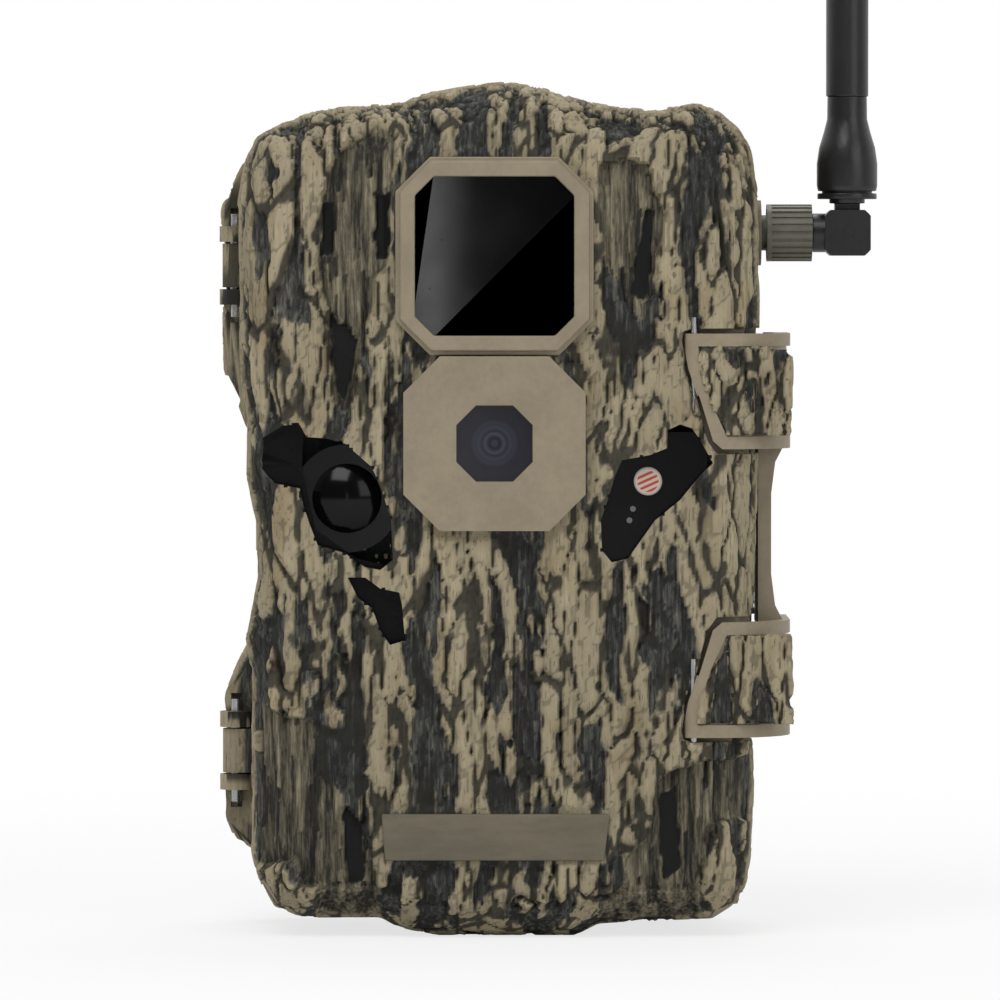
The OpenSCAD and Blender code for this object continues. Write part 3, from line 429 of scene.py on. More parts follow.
def settle(piece):
    """Applies the piece's modifiers to its mesh."""
    bpy.context.view_layer.update()
    made = piece.evaluated_get(bpy.context.evaluated_depsgraph_get())
    mesh = bpy.data.meshes.new_from_object(made)
    piece.modifiers.clear()
    piece.data = mesh
    return piece


def joined(first, operation, *others):
    """Booleans the others, bmeshes or objects, into the first."""
    for other in others:
        tool = placed(other, "tool") if isinstance(other, bmesh.types.BMesh) else other
        cut = first.modifiers.new("cut", "BOOLEAN")
        cut.operation, cut.solver, cut.object = operation, "MANIFOLD", tool
        settle(first)
        bpy.data.objects.remove(tool)
        if not first.data.polygons:
            raise RuntimeError(f"nothing is left of {first.name} after {operation}")
    return first


def loft_block(outline, levels, low_y):
    """A block from an outline, drawn in level by level towards one side."""
    bm = prism(outline, levels[0][0], low_y)
    cap = min(bm.faces, key=lambda f: abs(f.calc_center_median().y - levels[0][0] * MM))
    before = 0.0
    for y, inset in levels[1:]:
        grown = bmesh.ops.extrude_face_region(bm, geom=[cap])["geom"]
        bmesh.ops.delete(bm, geom=[cap], context="FACES_ONLY")
        cap = next(g for g in grown if isinstance(g, bmesh.types.BMFace))
        sx = (1 - 2 * inset / (2 * HALF_W)) / (1 - 2 * before / (2 * HALF_W))
        sz = (1 - 2 * inset / (2 * MID_Z)) / (1 - 2 * before / (2 * MID_Z))
        bmesh.ops.scale(bm, vec=(sx, 1, sz), verts=cap.verts, space=Matrix.Translation((0, 0, -MID_Z * MM)))
        for vert in cap.verts:
            vert.co.y = y * MM
        before = inset
    bmesh.ops.recalc_face_normals(bm, faces=bm.faces)
    return bm


def weathered(block, name, voxel, settings, front):
    """Remeshes a block finely and raises bark on it; gives the piece and its attributes by vertex."""
    piece = placed(block, name)
    grid = piece.modifiers.new("grid", "REMESH")
    grid.mode, grid.voxel_size, grid.use_smooth_shade = "VOXEL", voxel, True
    settle(piece)
    mesh = piece.data
    count = len(mesh.vertices)
    where, normal = np.empty(count * 3), np.empty(count * 3, np.float32)
    mesh.vertices.foreach_get("co", where)
    mesh.vertex_normals.foreach_get("vector", normal)
    where, normal = where.reshape(-1, 3) / MM, normal.reshape(-1, 3)
    height, marks = bark(where, normal, settings, front)
    moved = (where + normal * height[:, None]) * MM
    mesh.vertices.foreach_set("co", moved.ravel())
    mesh.update()
    return piece, moved, marks


def carry(piece, moved, marks, reach=0.35):
    """Copies the bark's attributes onto the cut piece, and returns which vertices lie off the bark."""
    tree = kdtree.KDTree(len(moved))
    for index, co in enumerate(moved):
        tree.insert(co, index)
    tree.balance()
    mesh = piece.data
    nearest = [tree.find(v.co) for v in mesh.vertices]
    index = np.array([n[1] for n in nearest])
    away = np.array([n[2] for n in nearest]) / MM
    for name, values in marks.items():
        layer = mesh.attributes.new(name, "FLOAT", "POINT")
        layer.data.foreach_set("value", values[index].astype(np.float32))
    return away > reach


def face_centres(mesh):
    centre = np.empty(len(mesh.polygons) * 3, np.float32)
    normal = np.empty(len(mesh.polygons) * 3, np.float32)
    mesh.polygons.foreach_get("center", centre)
    mesh.polygons.foreach_get("normal", normal)
    return centre.reshape(-1, 3) / MM, normal.reshape(-1, 3)


def finish_piece(piece, body, *nodes, materials=(), slot=None, angle=35):
    for material in materials:
        piece.data.materials.append(material)
    if angle:
        piece.data.shade_smooth()
        piece.data.set_sharp_from_angle(angle=math.radians(angle))
    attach(piece, body)
    if nodes:
        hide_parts(*nodes)
    return piece


# ---- finishes ----

def bark_finish(look):
    f = Finish("bark_print")
    fine = f.noise(0.5, detail=4, rough=0.7, stretch=(1, 1, 2.6))
    streak = f.noise(0.8, detail=3, rough=0.6, stretch=(0.8, 0.8, 8), warp=0.3)
    thread = f.noise(0.42, detail=2, rough=0.6, stretch=(1, 1, 11), warp=0.6)
    patch = f.noise(8, detail=2, stretch=(1, 1, 2.2))
    spot = f.noise(1.5, detail=3, rough=0.65, stretch=(1, 1, 1.8))
    ridge, rise, cleft, nick = (f.attribute(name) for name in ("ridge", "rise", "cleft", "nick"))
    tan, dark = tuple(look.bark_tan), tuple(look.bark_dark)
    # painted highlight: a paler copy of the tan for the ridge tops and plate rims
    painted_highlight = tuple(min(1, t * 1.45) for t in tan)
    # printed ridges: tan, browner in patches, with dark threads; a painted highlight lightens the highest ridges and
    # the rims of the raised plates
    level = ridge * 0.55 + (streak - 0.5) * 0.55 + (fine - 0.5) * 0.30 + (f.attribute("tone") - 0.5) * 0.16 + 0.22
    wood = f.ramp(level, [(0.18, srgb(58, 52, 42)), (0.36, tuple(t * 0.62 for t in tan)), (0.50, tan),
                          (0.66, tuple(t * 1.14 for t in tan)), (0.88, painted_highlight)])
    wood = f.mix(patch.step(0.5, 0.72) * 0.55, wood, f.mix(1.0, wood, srgb(214, 200, 178), "MULTIPLY"))
    wood = f.mix(thread.step(0.60, 0.70) * 0.55, wood, srgb(52, 47, 38))
    wood = f.mix(spot.step(0.64, 0.72) * 0.6, wood, srgb(48, 43, 36))
    # painted highlight: the rims of the raised plates are lightened as if they catch the light
    rim = (rise - 0.5).math("ABSOLUTE") * -2 + 1
    wood = f.mix(rim * fine.step(0.45, 0.62) * 0.6, wood, painted_highlight)
    # valleys: blue-grey and black threads
    low = f.ramp(streak * 0.9 + (fine - 0.5) * 0.35 + ridge * 0.45 - 0.1,
                 [(0.26, srgb(26, 26, 25)), (0.42, srgb(50, 50, 48)), (0.56, srgb(80, 79, 72)),
                  (0.70, srgb(112, 108, 95))])
    colour = f.mix(rise.step(0.3, 0.7), low, wood)
    colour = f.mix(cleft.step(0.30, 0.85) * 0.85, colour, dark)
    colour = f.mix(nick.step(0.4, 0.95) * 0.38, colour, dark)
    plank = f.ramp(ridge * 0.8 + (streak - 0.5) * 0.9 + (fine - 0.5) * 0.3 + 0.05,
                   [(0.20, srgb(16, 16, 14)), (0.36, srgb(46, 43, 36)), (0.54, srgb(92, 86, 70)),
                    (0.74, srgb(134, 126, 104))])
    colour = f.mix(f.attribute("sunk").step(0.25, 0.8), colour, plank)
    # painted shade: the pits are coloured near black as the shadow of a deep recess
    colour = f.mix(f.attribute("pit_depth_and_painted_shade").step(0.2, 0.8), colour, srgb(9, 9, 8))
    normal = f.bump(fine * 0.4 + streak * 0.6, 0.30, 0.7)
    return f.surface(base_color=colour, roughness=ridge * -0.14 + 0.76, normal=normal, specular_ior_level=0.3)


def moulded(name, colour, rough=0.5, grain=0.35, depth=0.03, specular=0.4, vary=0.16, brush=(1, 1, 1)):
    """Moulded plastic with a fine spark-eroded grain, clouded a little."""
    f = Finish(name)
    grit = f.noise(grain, detail=2, rough=0.7)
    cloud = f.noise(7, detail=3, stretch=brush)
    streak = f.noise(1.3, detail=2, rough=0.6, stretch=tuple(4 if b > 1 else 1 for b in brush))
    darker, lighter = tuple(c * (1 - vary) for c in colour), tuple(min(1, c * (1 + vary)) for c in colour)
    tint = f.mix((cloud * 0.6 + streak * 0.4).step(0.3, 0.7), darker, lighter)
    tint = f.mix(grit.step(0.5, 0.8) * 0.25, tint, tuple(c * 0.7 for c in colour))
    return f.surface(base_color=tint, roughness=(cloud - 0.5) * 0.16 + rough + (grit - 0.5) * 0.10,
                     normal=f.bump(grit, depth), specular_ior_level=specular)


def gloss(name, colour, rough=0.06, specular=0.2):
    """Hard polished plastic or filter glass, with the faint haze and lint of use."""
    f = Finish(name)
    haze = f.noise(6, detail=4)
    dust = f.noise(0.5, detail=1, rough=0.5).step(0.72, 0.80)
    tint = f.mix(haze.step(0.35, 0.75) * 0.5, colour, tuple(c * 1.5 + 0.0006 for c in colour))
    return f.surface(base_color=f.mix(dust * 0.12, tint, srgb(60, 60, 58)), roughness=haze * 0.05 + rough + dust * 0.2,
                     specular_ior_level=specular)


def metal(name, colour, rough=0.28, brush=(1, 1, 1)):
    f = Finish(name)
    line = f.noise(0.35, detail=3, stretch=brush)
    cloud = f.noise(3, detail=2)
    tint = f.mix(cloud.step(0.3, 0.75), tuple(c * 0.72 for c in colour), colour)
    return f.surface(base_color=tint, metallic=1.0, roughness=(line - 0.5) * 0.2 + rough,
                     normal=f.bump(line, 0.01))


def board_finish(name, colour):
    """Solder mask with tracks and pads under it."""
    f = Finish(name)
    brick = f.node("ShaderNodeTexVoronoi", {"feature": "DISTANCE_TO_EDGE", "distance": "EUCLIDEAN"},
                   {"Vector": f.place((2.1, 2.1, 2.1)), "Scale": 1.0})
    track = Value(f, brick.outputs["Distance"]).step(0.10, 0.04)
    pad = f.noise(1.4, detail=0).step(0.70, 0.72)
    tint = f.mix(track * 0.5, colour, tuple(min(1, c * 1.7 + 0.01) for c in colour))
    tint = f.mix(pad, tint, srgb(190, 178, 140))
    return f.surface(base_color=tint, roughness=0.42 - 0.12 * pad, metallic=pad * 0.8,
                     normal=f.bump(track + pad, 0.03))


def rings_finish(centre):
    """The lens behind its window: dark blue-black with concentric mouldings."""
    f = Finish("lens_rings")
    where = f.node("ShaderNodeTexCoord").outputs["Object"]
    local = f.node("ShaderNodeMapping", {"vector_type": "POINT"}, {"Vector": where, "Scale": (1 / MM,) * 3,
                   "Location": [-c for c in centre]}).outputs[0]
    flat = f.node("ShaderNodeVectorMath", {"operation": "MULTIPLY"}, {0: local, 1: (1, 0, 1)}).outputs[0]
    far = Value(f, f.node("ShaderNodeVectorMath", {"operation": "LENGTH"}, {0: flat}).outputs["Value"])
    wave = (far * 5.2).math("SINE") * 0.5 + 0.5
    tone = f.ramp(far * 0.12, [(0.0, srgb(9, 9, 16)), (0.16, srgb(16, 16, 30)), (0.20, srgb(52, 52, 66)),
                               (0.26, srgb(24, 24, 36)), (0.44, srgb(40, 40, 52)), (0.50, srgb(26, 26, 36)),
                               (0.9, srgb(35, 35, 45))])
    band = f.mix(wave * far.step(3.6, 3.0) * 0.45, tone, srgb(58, 58, 70))
    cloud = f.noise(2.2, detail=2)
    return f.surface(base_color=f.mix(cloud * 0.2, band, srgb(22, 22, 30)), roughness=cloud * 0.05 + 0.10,
                     specular_ior_level=0.25)


def photocell_finish(centre, radius):
    """Pale ceramic with a meandering red track between two plates."""
    f = Finish("photocell_track")
    where = f.node("ShaderNodeTexCoord").outputs["Object"]
    local = f.node("ShaderNodeMapping", {"vector_type": "POINT"}, {"Vector": where, "Scale": (1 / MM,) * 3,
                   "Location": [-c for c in centre]}).outputs[0]
    parts = f.node("ShaderNodeSeparateXYZ", {}, {0: local})
    flat, tall = Value(f, parts.outputs["X"]), Value(f, parts.outputs["Z"])
    across, up = flat * 0.91 + tall * 0.41, tall * 0.91 - flat * 0.41
    square = across * across + up * up
    far = square.math("SQRT")
    comb = (up * (2 * math.pi / 0.95)).math("SINE")
    bend = (comb * 3.0 + 0.4).math("MULTIPLY", 0.5) + (across * 0.4).math("ABSOLUTE") * -0.4
    track = bend.step(0.05, 0.5) * far.step(radius * 0.80, radius * 0.72)
    grit = f.noise(0.3, detail=2)
    tint = f.mix(track, srgb(196, 182, 168), srgb(176, 62, 44))
    tint = f.mix(grit * 0.3, tint, srgb(120, 70, 60))
    tint = f.mix(far.step(radius * 0.86, radius * 0.93), tint, srgb(150, 140, 134))
    return f.surface(base_color=tint, roughness=grit * 0.1 + 0.35, normal=f.bump(track, 0.05),
                     specular_ior_level=0.4)


def wrap_finish():
    """Shrink sleeve of a cell: dark body and a copper-coloured end."""
    f = Finish("cell_sleeve")
    where = f.node("ShaderNodeTexCoord").outputs["Object"]
    z = Value(f, f.node("ShaderNodeSeparateXYZ", {}, {0: where}).outputs["Z"])
    cloud = f.noise(4, detail=3)
    seam = f.noise(0.8, detail=2, stretch=(1, 1, 8))
    tint = f.mix(seam * 0.4, srgb(30, 32, 34), srgb(46, 48, 50))
    tint = f.mix((z * 1000).math("MODULO", 57.3).step(42, 42.6), tint, srgb(152, 92, 48))
    return f.surface(base_color=tint, roughness=cloud * 0.1 + 0.3, specular_ior_level=0.5)


# ---- sizes and colours ----

class BarkLook(bpy.types.PropertyGroup):
    """Sizes and colours of the bark."""
    relief: FloatProperty(name="Relief", description="Share of the full bark relief", default=1.0, min=0, max=1.4,
                          subtype="FACTOR")
    plate_width: FloatProperty(name="Plate width", description="Width of one bark plate", default=0.0030,
                               unit="LENGTH")
    plate_length: FloatProperty(name="Plate length", description="Length of one bark plate", default=0.021,
                                unit="LENGTH")
    front_grid: FloatProperty(name="Cover grid", description="Mesh spacing on the front cover", default=0.00062,
                              unit="LENGTH")
    rear_grid: FloatProperty(name="Rear grid", description="Mesh spacing on the rear housing", default=0.0009,
                             unit="LENGTH")
    bark_tan: FloatVectorProperty(name="Bark tan", description="Printed colour of the ridges", subtype="COLOR",
                                  default=srgb(142, 132, 108), min=0, max=1)
    bark_dark: FloatVectorProperty(name="Bark dark", description="Printed colour of the clefts", subtype="COLOR",
                                   default=srgb(33, 32, 27), min=0, max=1)


class TrimLook(bpy.types.PropertyGroup):
    """Sizes and colours of the moulded frames, latch and antenna."""
    edge: FloatProperty(name="Edge", description="Width of the softened edges", default=0.00035, unit="LENGTH")
    trim_tan: FloatVectorProperty(name="Trim tan", description="Colour of the moulded frames", subtype="COLOR",
                                  default=srgb(138, 127, 106), min=0, max=1)
    segments: IntProperty(name="Edge segments", description="Facets across a softened edge", default=2, min=1, max=4)


class StageLook(bpy.types.PropertyGroup):
    """Light and floor."""
    key: FloatProperty(name="Key light", description="Power of the main soft lamp", default=13.0, unit="POWER")
    ambient: FloatProperty(name="Ambient", description="Level of the light from all round", default=0.42, min=0, max=1)
    floor: FloatProperty(name="Floor", description="Paleness of the floor", default=0.86, min=0, max=1)


MADE = {}


def finishes():
    """Every finish, made once."""
    if MADE:
        return MADE
    look, trim = bpy.context.scene.camera_bark, bpy.context.scene.camera_trim
    tan = tuple(trim.trim_tan)
    cell = [(a + b) / 2 for a, b in zip(*(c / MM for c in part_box("photocell")))]
    MADE.update(
        bark=bark_finish(look),
        tan=moulded("trim_tan", tan, 0.46, grain=0.4, depth=0.025, vary=0.10),
        inside=moulded("shell_inside", tuple(c * 0.62 for c in tan), 0.6, grain=0.5, depth=0.04),
        plate=moulded("name_plate_tan", srgb(104, 97, 81), 0.55, grain=0.6, depth=0.05, brush=(3, 1, 1)),
        dark_tan=moulded("bracket_tan", tuple(c * 0.75 for c in tan), 0.55, grain=0.5, depth=0.04),
        nut=moulded("nut_olive", srgb(92, 90, 78), 0.45, grain=0.4, depth=0.03),
        cavity=moulded("cavity_black", srgb(8, 8, 8), 0.30, grain=0.8, depth=0.04, specular=0.15),
        black=moulded("satin_black", srgb(24, 24, 25), 0.34, grain=0.35, depth=0.02, specular=0.5),
        rubber=moulded("soft_rubber", srgb(30, 30, 30), 0.75, grain=0.5, depth=0.04, specular=0.3),
        grey=moulded("key_grey", srgb(96, 98, 100), 0.5, grain=0.3, depth=0.02),
        chip=moulded("chip_black", srgb(28, 28, 30), 0.5, grain=0.3, depth=0.02),
        led=gloss("led_clear", srgb(44, 30, 40), 0.12, 0.5),
        status=gloss("status_clear", srgb(92, 88, 90), 0.18, 0.5),
        window=gloss("filter_black", (0.0012, 0.0012, 0.0014), 0.03, 0.22),
        sensor=gloss("sensor_black", (0.0016, 0.0016, 0.0017), 0.12, 0.2),
        screen=gloss("screen_dark", srgb(17, 19, 22), 0.08, 0.5),
        glass=gloss("lens_glass", srgb(12, 13, 26), 0.04, 0.6),
        rings=rings_finish([(a + b) / 2 for a, b in zip(*(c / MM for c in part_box("lens_window")))]),
        photocell=photocell_finish(cell, 2.45),
        sleeve=wrap_finish(),
        steel=metal("plated_steel", srgb(196, 196, 198), 0.28, (1, 1, 6)),
        brass=metal("turned_brass", srgb(206, 172, 110), 0.3, (6, 1, 1)),
        green=board_finish("solder_mask", srgb(20, 70, 38)),
    )
    return MADE


BY_SLOT = {"bark_print": "bark", "tan_plastic": "tan", "black_gloss": "sensor", "board_green": "green",
           "led_clear": "led", "black_plastic": "black", "glass": "glass", "chip": "chip", "steel": "steel",
           "ceramic": "photocell", "button_grey": "grey", "brass": "brass", "rubber": "rubber",
           "cell_wrap": "sleeve"}
BY_NODE = {"flash_window": "window", "lens_window": "rings", "screen": "screen", "status_leds": "status",
           "front_plate": "plate", "tree_bracket": "dark_tan", "antenna_nut": "nut", "inner_panel": "black",
           "antenna_pin": "black", "antenna_jack": "nut"}


def slot_of(node):
    return frame["nodes"][node].material_slots[0].material.name


def finish_of(node):
    return finishes()[BY_NODE.get(node) or BY_SLOT[slot_of(node).split(".")[0]]]


def softened(node, width, segments=2, angle=30, flat=0.02):
    """A CAD node's shape with its sharp edges rounded over."""
    piece = placed(cad_copy(node, flat), f"{node}_soft")
    soft = piece.modifiers.new("edges", "BEVEL")
    soft.width, soft.segments, soft.limit_method = width, segments, "ANGLE"
    soft.angle_limit = math.radians(angle)
    soft.profile, soft.use_clamp_overlap = 0.5, True
    settle(piece)
    piece.data.shade_smooth()
    piece.data.set_sharp_from_angle(angle=math.radians(38))
    even = piece.modifiers.new("normals", "WEIGHTED_NORMAL")
    even.keep_sharp, even.weight = True, 100
    settle(piece)
    piece.data.materials.clear()
    return finish_piece(piece, BODY_OF[node], node, materials=[finish_of(node)], slot=slot_of(node), angle=None)


# ---- operators ----

class CAMERA_OT_cover(bpy.types.Operator):
    """Raise bark on the front cover and cut its cavities"""
    bl_idname = "trail_camera.cover"
    bl_label = "Front cover"

    def execute(self, context):
        look = context.scene.camera_bark
        levels = [(FACE_Y + EDGE_R * (1 - math.sin(math.radians(a))), EDGE_R * (1 - math.cos(math.radians(a))))
                  for a in (0, 15, 30, 45, 60, 75, 90)]
        piece, moved, marks = weathered(loft_block(COVER_OUTLINE, levels, RIM_Y + 3), "front_cover",
                                        look.front_grid, look, True)
        # everything behind the bark keeps the moulded shell's own surfaces
        keep = placed(loft_block(COVER_OUTLINE, [(FACE_Y + 12, 1.3), (FACE_Y + 3.5, 4.4), (FACE_Y + 1.6, 7.6)],
                                 RIM_Y + 2), "keep")
        joined(keep, "UNION", *self.seats())
        joined(keep, "DIFFERENCE", cad_copy("front_shell", 0))
        joined(piece, "DIFFERENCE", keep, box_block((-60, COVER_HI.y - 2.55, -10), (60, 5, 160)),
               prism(LEFT_EYE, FACE_Y - 5, FACE_Y + 2.5), prism(RIGHT_EYE, FACE_Y - 5, FACE_Y + 3.3),
               prism(SMALL_CAVITY, FACE_Y - 5, FACE_Y + 2.3))
        for block in self.added():
            joined(piece, "UNION", joined(placed(cad_copy("front_shell", 0), "kept"), "INTERSECT", block))
        off = carry(piece, moved, marks)
        mesh = piece.data
        centre, normal = face_centres(mesh)
        corner = np.empty(len(mesh.loops), np.int32)
        mesh.loops.foreach_get("vertex_index", corner)
        starts = np.empty(len(mesh.polygons), np.int32)
        mesh.polygons.foreach_get("loop_start", starts)
        cut = np.maximum.reduceat(off[corner].astype(int), starts) > 0
        x, y, z = centre.T
        eye = np.zeros(len(x), bool)
        for outline in (LEFT_EYE, RIGHT_EYE, SMALL_CAVITY):
            eye |= (inside_by(x, z, outline) > -0.25) & (y < FACE_Y + 3.4)
        kind = np.where(cut & eye, 1, np.where(cut & (x > -42.6), 2, 0)).astype(np.int32)
        mesh.materials.clear()
        mesh.polygons.foreach_set("material_index", kind)
        made = finishes()
        finish_piece(piece, "front", "front_shell", materials=[made["bark"], made["cavity"], made["inside"]],
                     slot="bark_print", angle=48)
        return {"FINISHED"}

    def seats(self):
        """Blocks round the latch claws, the windows, the hinge and the antenna, where the shell is plain."""
        mid = (LATCH_LO.z + LATCH_HI.z) / 2
        for side in (-1, 1):
            claw = [(38.5, 14.1), (54, 14.1), (54, 35.9), (33.9, 35.9), (32.3, 35.2), (32.3, 32.6), (33.1, 28.4),
                    (34.9, 22.8), (37.0, 16.2)]
            yield prism([(x, mid + side * p) for x, p in claw], FACE_Y - 5, -3.9)
        yield prism(octagon(33.6, 33.6, 5.8, 0, (FRAME_LO.z + FRAME_HI.z) / 2), FACE_Y - 5, FACE_Y + 2)
        yield prism(octagon(30.9, 29.6, 6.1, 0, (LENS_LO.z + LENS_HI.z) / 2), FACE_Y - 5, FACE_Y + 2)
        low, high = (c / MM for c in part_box("front_plate"))
        yield box_block((low.x + 0.3, FACE_Y - 5, low.z + 0.3), (high.x - 0.3, FACE_Y + 2, high.z - 0.3))
        for z in (31.4, 116.8):
            yield box_block((-52, -16.2, z - 7.2), (-42.4, -5, z + 7.2))
        low, high = (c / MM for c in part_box("antenna_jack"))
        yield rod(((low.y + high.y) / 2, (low.z + high.z) / 2), 6.3, 41, 52, "X")

    def added(self):
        """Blocks that hold the shell's knuckles and antenna boss."""
        for z in (31.4, 116.8):
            yield box_block((-51, -15.9, z - 6.9), (-42.6, -6, z + 6.9))
        low, high = (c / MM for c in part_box("antenna_jack"))
        yield rod(((low.y + high.y) / 2, (low.z + high.z) / 2), 6.0, 42, 51, "X")


class CAMERA_OT_rear(bpy.types.Operator):
    """Raise bark on the rear housing"""
    bl_idname = "trail_camera.rear"
    bl_label = "Rear housing"

    def execute(self, context):
        look = context.scene.camera_bark
        flipped = [(x, z) for x, z in REAR_OUTLINE]
        levels = [(BACK_Y - 1.5, 1.0), (BACK_Y, 3.0)]
        block = loft_block(flipped, [(BACK_Y - 4, 0.0)] + levels, RIM_Y - 4)
        piece, moved, marks = weathered(block, "rear_bark", look.rear_grid, look, False)
        keep = placed(loft_block(REAR_OUTLINE, [(BACK_Y - 1.3, 1.6)], RIM_Y - 3), "keep")
        low, high = (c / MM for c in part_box("tree_bracket"))
        joined(keep, "UNION", *self.seats(low, high))
        joined(keep, "DIFFERENCE", cad_copy("rear_housing", 0))
        joined(piece, "DIFFERENCE", keep, box_block((-60, -40, -10), (60, RIM_Y + 3.05, 160)))
        for block in self.added():
            joined(piece, "UNION", joined(placed(cad_copy("rear_housing", 0), "kept"), "INTERSECT", block))
        off = carry(piece, moved, marks)
        mesh = piece.data
        corner = np.empty(len(mesh.loops), np.int32)
        mesh.loops.foreach_get("vertex_index", corner)
        starts = np.empty(len(mesh.polygons), np.int32)
        mesh.polygons.foreach_get("loop_start", starts)
        cut = np.maximum.reduceat(off[corner].astype(int), starts) > 0
        centre = face_centres(mesh)[0]
        outer = (centre[:, 0] < -41.6) & (centre[:, 1] < 11)
        mesh.materials.clear()
        mesh.polygons.foreach_set("material_index", (cut & ~outer).astype(np.int32))
        made = finishes()
        finish_piece(piece, "rear", "rear_housing", materials=[made["bark"], made["inside"]], slot="bark_print",
                     angle=48)
        return {"FINISHED"}

    def seats(self, low, high):
        yield box_block((low.x - 0.4, BACK_Y - 2, low.z - 0.4), (high.x + 0.4, BACK_Y + 5, high.z + 0.4))
        yield rod((0, 0), 9, -6, 3.2, "Z")
        yield box_block((24, -9, -6), (42, 9, 3.2))
        for z in (31.4, 116.8):
            yield box_block((-54, -16.2, z - 7.2), (-41.4, -5, z + 7.2))
        yield box_block((42.2, -20, 33), (56, -2, 107))

    def added(self):
        for z in (31.4, 116.8):
            yield box_block((-52, -16, z - 6.9), (-41.6, -6, z + 6.9))
        yield box_block((42.6, -19, 33.4), (54, -2.4, 106.6))


class CAMERA_OT_trim(bpy.types.Operator):
    """Soften the moulded frames, plate, latch and bracket"""
    bl_idname = "trail_camera.trim"
    bl_label = "Moulded trim"

    def execute(self, context):
        trim = context.scene.camera_trim
        for node in ("window_frame", "lens_bezel"):
            softened(node, trim.edge, trim.segments + 1, 12)
        for node in ("front_plate", "tree_bracket", "latch"):
            softened(node, trim.edge, trim.segments)
        for node in ("flash_window", "lens_window", "sensor_window"):
            softened(node, 0.0001, 1)
        self.claw_bark(context.scene.camera_bark)
        return {"FINISHED"}

    def claw_bark(self, look):
        """Bark panels let into the two claws."""
        mid = (LATCH_LO.z + LATCH_HI.z) / 2
        for name, side in (("claw_bark_low", -1), ("claw_bark_high", 1)):
            panel = [(40.3, 17.35), (51.2, 17.35), (51.2, 32.65), (35.4, 32.65), (35.95, 28.4), (37.5, 23.5)]
            block = prism([(x, mid + side * p) for x, p in panel], LATCH_LO.y + 0.05, LATCH_LO.y + 1.1)
            piece, moved, marks = weathered(block, name, 0.00042, look, False)
            marks["sunk"][:] = 0
            carry(piece, moved, marks)
            finish_piece(piece, "latch", materials=[finishes()["bark"]], slot="bark_print", angle=60)


class CAMERA_OT_fittings(bpy.types.Operator):
    """Soften the antenna, keys and small fittings, and give every other part its finish"""
    bl_idname = "trail_camera.fittings"
    bl_label = "Fittings and inside"

    def execute(self, context):
        trim = context.scene.camera_trim
        names = frame["nodes"]
        for node in ("antenna_nut", "antenna_elbow", "antenna_boot", "antenna_tube", "inner_panel", "power_switch",
                     "jack_cap", "memory_card"):
            softened(node, trim.edge * 0.7, trim.segments)
        for node in sorted(n for n in names if n.startswith("button_")):
            softened(node, trim.edge, trim.segments)
        for node, cad in names.items():
            if not cad.hide_render:
                cad.material_slots[0].material = finish_of(node)
        return {"FINISHED"}


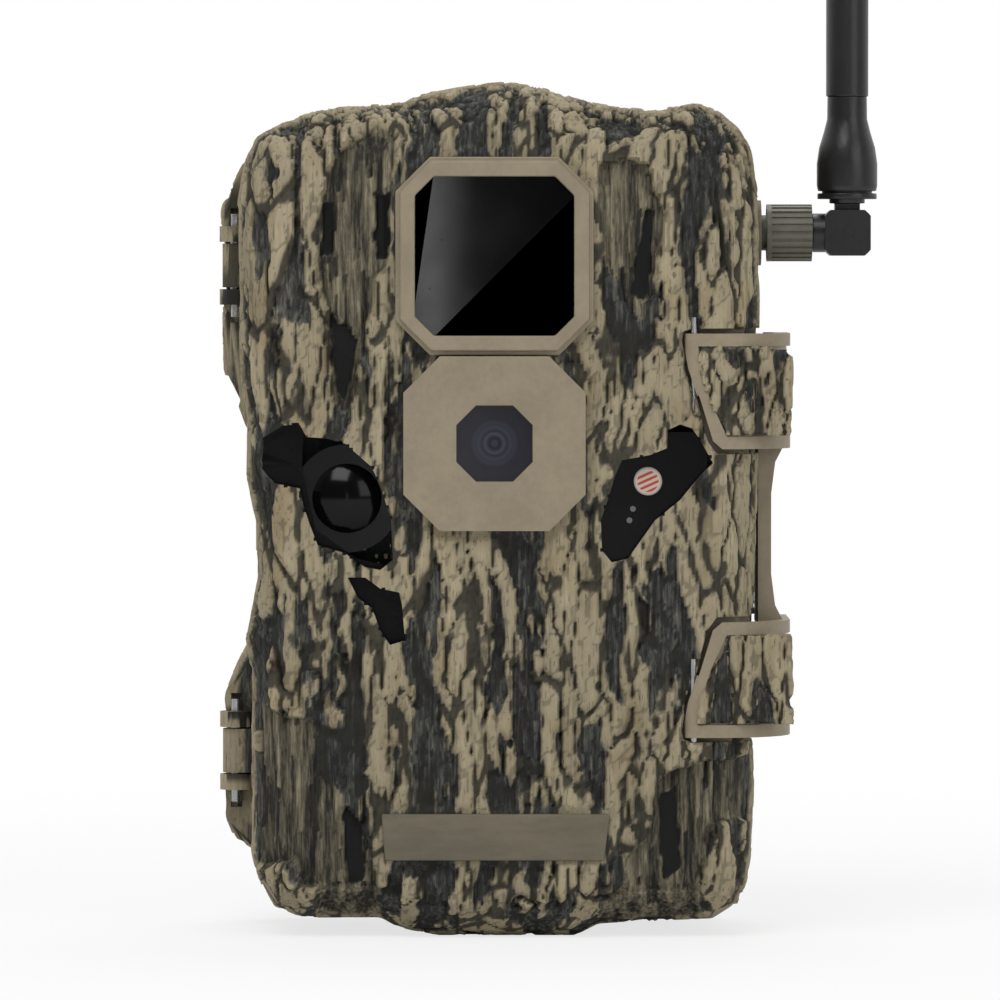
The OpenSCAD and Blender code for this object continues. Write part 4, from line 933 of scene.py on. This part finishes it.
class CAMERA_OT_stage(bpy.types.Operator):
    """Set the floor, the lamps and the camera"""
    bl_idname = "trail_camera.stage"
    bl_label = "Stage"

    def execute(self, context):
        scene, look = context.scene, context.scene.camera_stage
        scene.view_settings.view_transform = "Standard"
        bm = bmesh.new()
        bmesh.ops.create_grid(bm, x_segments=1, y_segments=1, size=4)
        floor = placed(bm, "floor")
        floor.data.materials.append(self.floor_finish(look))
        self.world(scene, look)
        self.lamp("key", (-0.35, -1.0, 1.35), (0, -0.02, 0.08), 0.9, look.key)
        self.lamp("fill", (0.9, -1.1, 0.55), (0, -0.02, 0.08), 0.8, look.key * 0.30)
        self.lamp("rim", (0.1, 0.55, 1.3), (0, 0, 0.1), 0.7, look.key * 0.45)
        strip = self.lamp("strip", (-0.026, -1.5, 0.12), (-0.026, 0, 0.12), 0.016, 0.16)
        strip.data.shape, strip.data.size_y = "RECTANGLE", 0.5
        strip.rotation_euler = (math.pi / 2, 0, 0)
        lens = bpy.data.cameras.new("camera")
        view = bpy.data.objects.new("camera", lens)
        scene.collection.objects.link(view)
        aim = Vector((0.00095, -0.037, 0.0762))
        view.location = (0.00095, -1.437, 0.116)
        view.rotation_euler = (aim - view.location).to_track_quat("-Z", "Y").to_euler()
        lens.sensor_width = 36
        lens.lens = 36 * (aim - view.location).length / 0.1731
        lens.clip_start = 0.05
        scene.camera = view
        return {"FINISHED"}

    def lamp(self, name, at, aim, size, power):
        light = bpy.data.lights.new(name, "AREA")
        light.shape, light.size, light.energy = "SQUARE", size, power
        lamp = bpy.data.objects.new(name, light)
        bpy.context.scene.collection.objects.link(lamp)
        lamp.location = at
        lamp.rotation_euler = (Vector(aim) - Vector(at)).to_track_quat("-Z", "Y").to_euler()
        lamp.visible_camera = False
        return lamp

    def floor_finish(self, look):
        f = Finish("pale_floor")
        cloud = f.noise(60, detail=2)
        tint = f.mix(cloud * 0.2, (look.floor,) * 3, (look.floor * 0.97,) * 3)
        plain = f.node("ShaderNodeBsdfDiffuse", {}, {"Color": tint})
        glow = f.node("ShaderNodeEmission", {}, {"Color": (1, 1, 1), "Strength": 1.0})
        path = f.node("ShaderNodeLightPath")
        seen = Value(f, path.outputs["Is Camera Ray"]).math("MAXIMUM", Value(f, path.outputs["Is Transmission Ray"]))
        where = f.node("ShaderNodeTexCoord").outputs["Object"]
        far = Value(f, f.node("ShaderNodeVectorMath", {"operation": "LENGTH"}, {0: where}).outputs["Value"])
        share = far.step(0.10, 0.42) * 0.26 + 0.74
        both = f.node("ShaderNodeMixShader", {}, {0: seen * share, 1: plain.outputs[0], 2: glow.outputs[0]})
        f.node("ShaderNodeOutputMaterial", {}, {"Surface": both.outputs[0]})
        return f.material

    def world(self, scene, look):
        world = bpy.data.worlds.new("studio")
        scene.world = world
        world.use_nodes = True
        tree = world.node_tree
        tree.nodes.clear()
        path = tree.nodes.new("ShaderNodeLightPath")
        where = tree.nodes.new("ShaderNodeTexCoord")
        split = tree.nodes.new("ShaderNodeSeparateXYZ")
        tree.links.new(where.outputs["Generated"], split.inputs[0])
        back = tree.nodes.new("ShaderNodeMapRange")
        back.inputs["From Min"].default_value, back.inputs["From Max"].default_value = -0.5, 0.35
        back.inputs["To Min"].default_value, back.inputs["To Max"].default_value = 0.12, 1.0
        tree.links.new(split.outputs["Y"], back.inputs["Value"])
        shiny = tree.nodes.new("ShaderNodeMath")
        shiny.operation = "MULTIPLY"
        tree.links.new(path.outputs["Is Glossy Ray"], shiny.inputs[0])
        tree.links.new(back.outputs["Result"], shiny.inputs[1])
        seen = tree.nodes.new("ShaderNodeMath")
        seen.operation = "MAXIMUM"
        tree.links.new(path.outputs["Is Camera Ray"], seen.inputs[0])
        tree.links.new(path.outputs["Is Transmission Ray"], seen.inputs[1])
        level = tree.nodes.new("ShaderNodeMath")
        level.operation = "MAXIMUM"
        tree.links.new(seen.outputs[0], level.inputs[0])
        tree.links.new(shiny.outputs[0], level.inputs[1])
        rest = tree.nodes.new("ShaderNodeMath")
        rest.operation = "MULTIPLY"
        rest.inputs[1].default_value = look.ambient
        tree.links.new(path.outputs["Is Diffuse Ray"], rest.inputs[0])
        total = tree.nodes.new("ShaderNodeMath")
        total.operation = "ADD"
        tree.links.new(level.outputs[0], total.inputs[0])
        tree.links.new(rest.outputs[0], total.inputs[1])
        ground = tree.nodes.new("ShaderNodeBackground")
        ground.inputs["Color"].default_value = (1, 1, 1, 1)
        tree.links.new(total.outputs[0], ground.inputs["Strength"])
        out = tree.nodes.new("ShaderNodeOutputWorld")
        tree.links.new(ground.outputs[0], out.inputs["Surface"])


class CAMERA_PT_panel(bpy.types.Panel):
    """The camera's sizes, colours and steps"""
    bl_idname = "CAMERA_PT_trail_camera"
    bl_label = "Trail camera"
    bl_space_type = "VIEW_3D"
    bl_region_type = "UI"
    bl_category = "Trail camera"

    def draw(self, context):
        for group in ("camera_bark", "camera_trim", "camera_stage"):
            look = getattr(context.scene, group)
            for name in look.bl_rna.properties.keys():
                if name not in ("rna_type", "name"):
                    self.layout.prop(look, name)
        for step in STEPS:
            self.layout.operator(step.bl_idname)


STEPS = (CAMERA_OT_stage, CAMERA_OT_cover, CAMERA_OT_rear, CAMERA_OT_trim, CAMERA_OT_fittings)
CLASSES = (BarkLook, TrimLook, StageLook, *STEPS, CAMERA_PT_panel)


def register():
    for kind in CLASSES:
        bpy.utils.register_class(kind)
    bpy.types.Scene.camera_bark = PointerProperty(type=BarkLook)
    bpy.types.Scene.camera_trim = PointerProperty(type=TrimLook)
    bpy.types.Scene.camera_stage = PointerProperty(type=StageLook)


def unregister():
    del bpy.types.Scene.camera_bark, bpy.types.Scene.camera_trim, bpy.types.Scene.camera_stage
    for kind in reversed(CLASSES):
        bpy.utils.unregister_class(kind)


def main():
    register()
    bpy.ops.trail_camera.stage()
    bpy.ops.trail_camera.cover()
    bpy.ops.trail_camera.rear()
    bpy.ops.trail_camera.trim()
    bpy.ops.trail_camera.fittings()


if __name__ == "__main__":
    main()
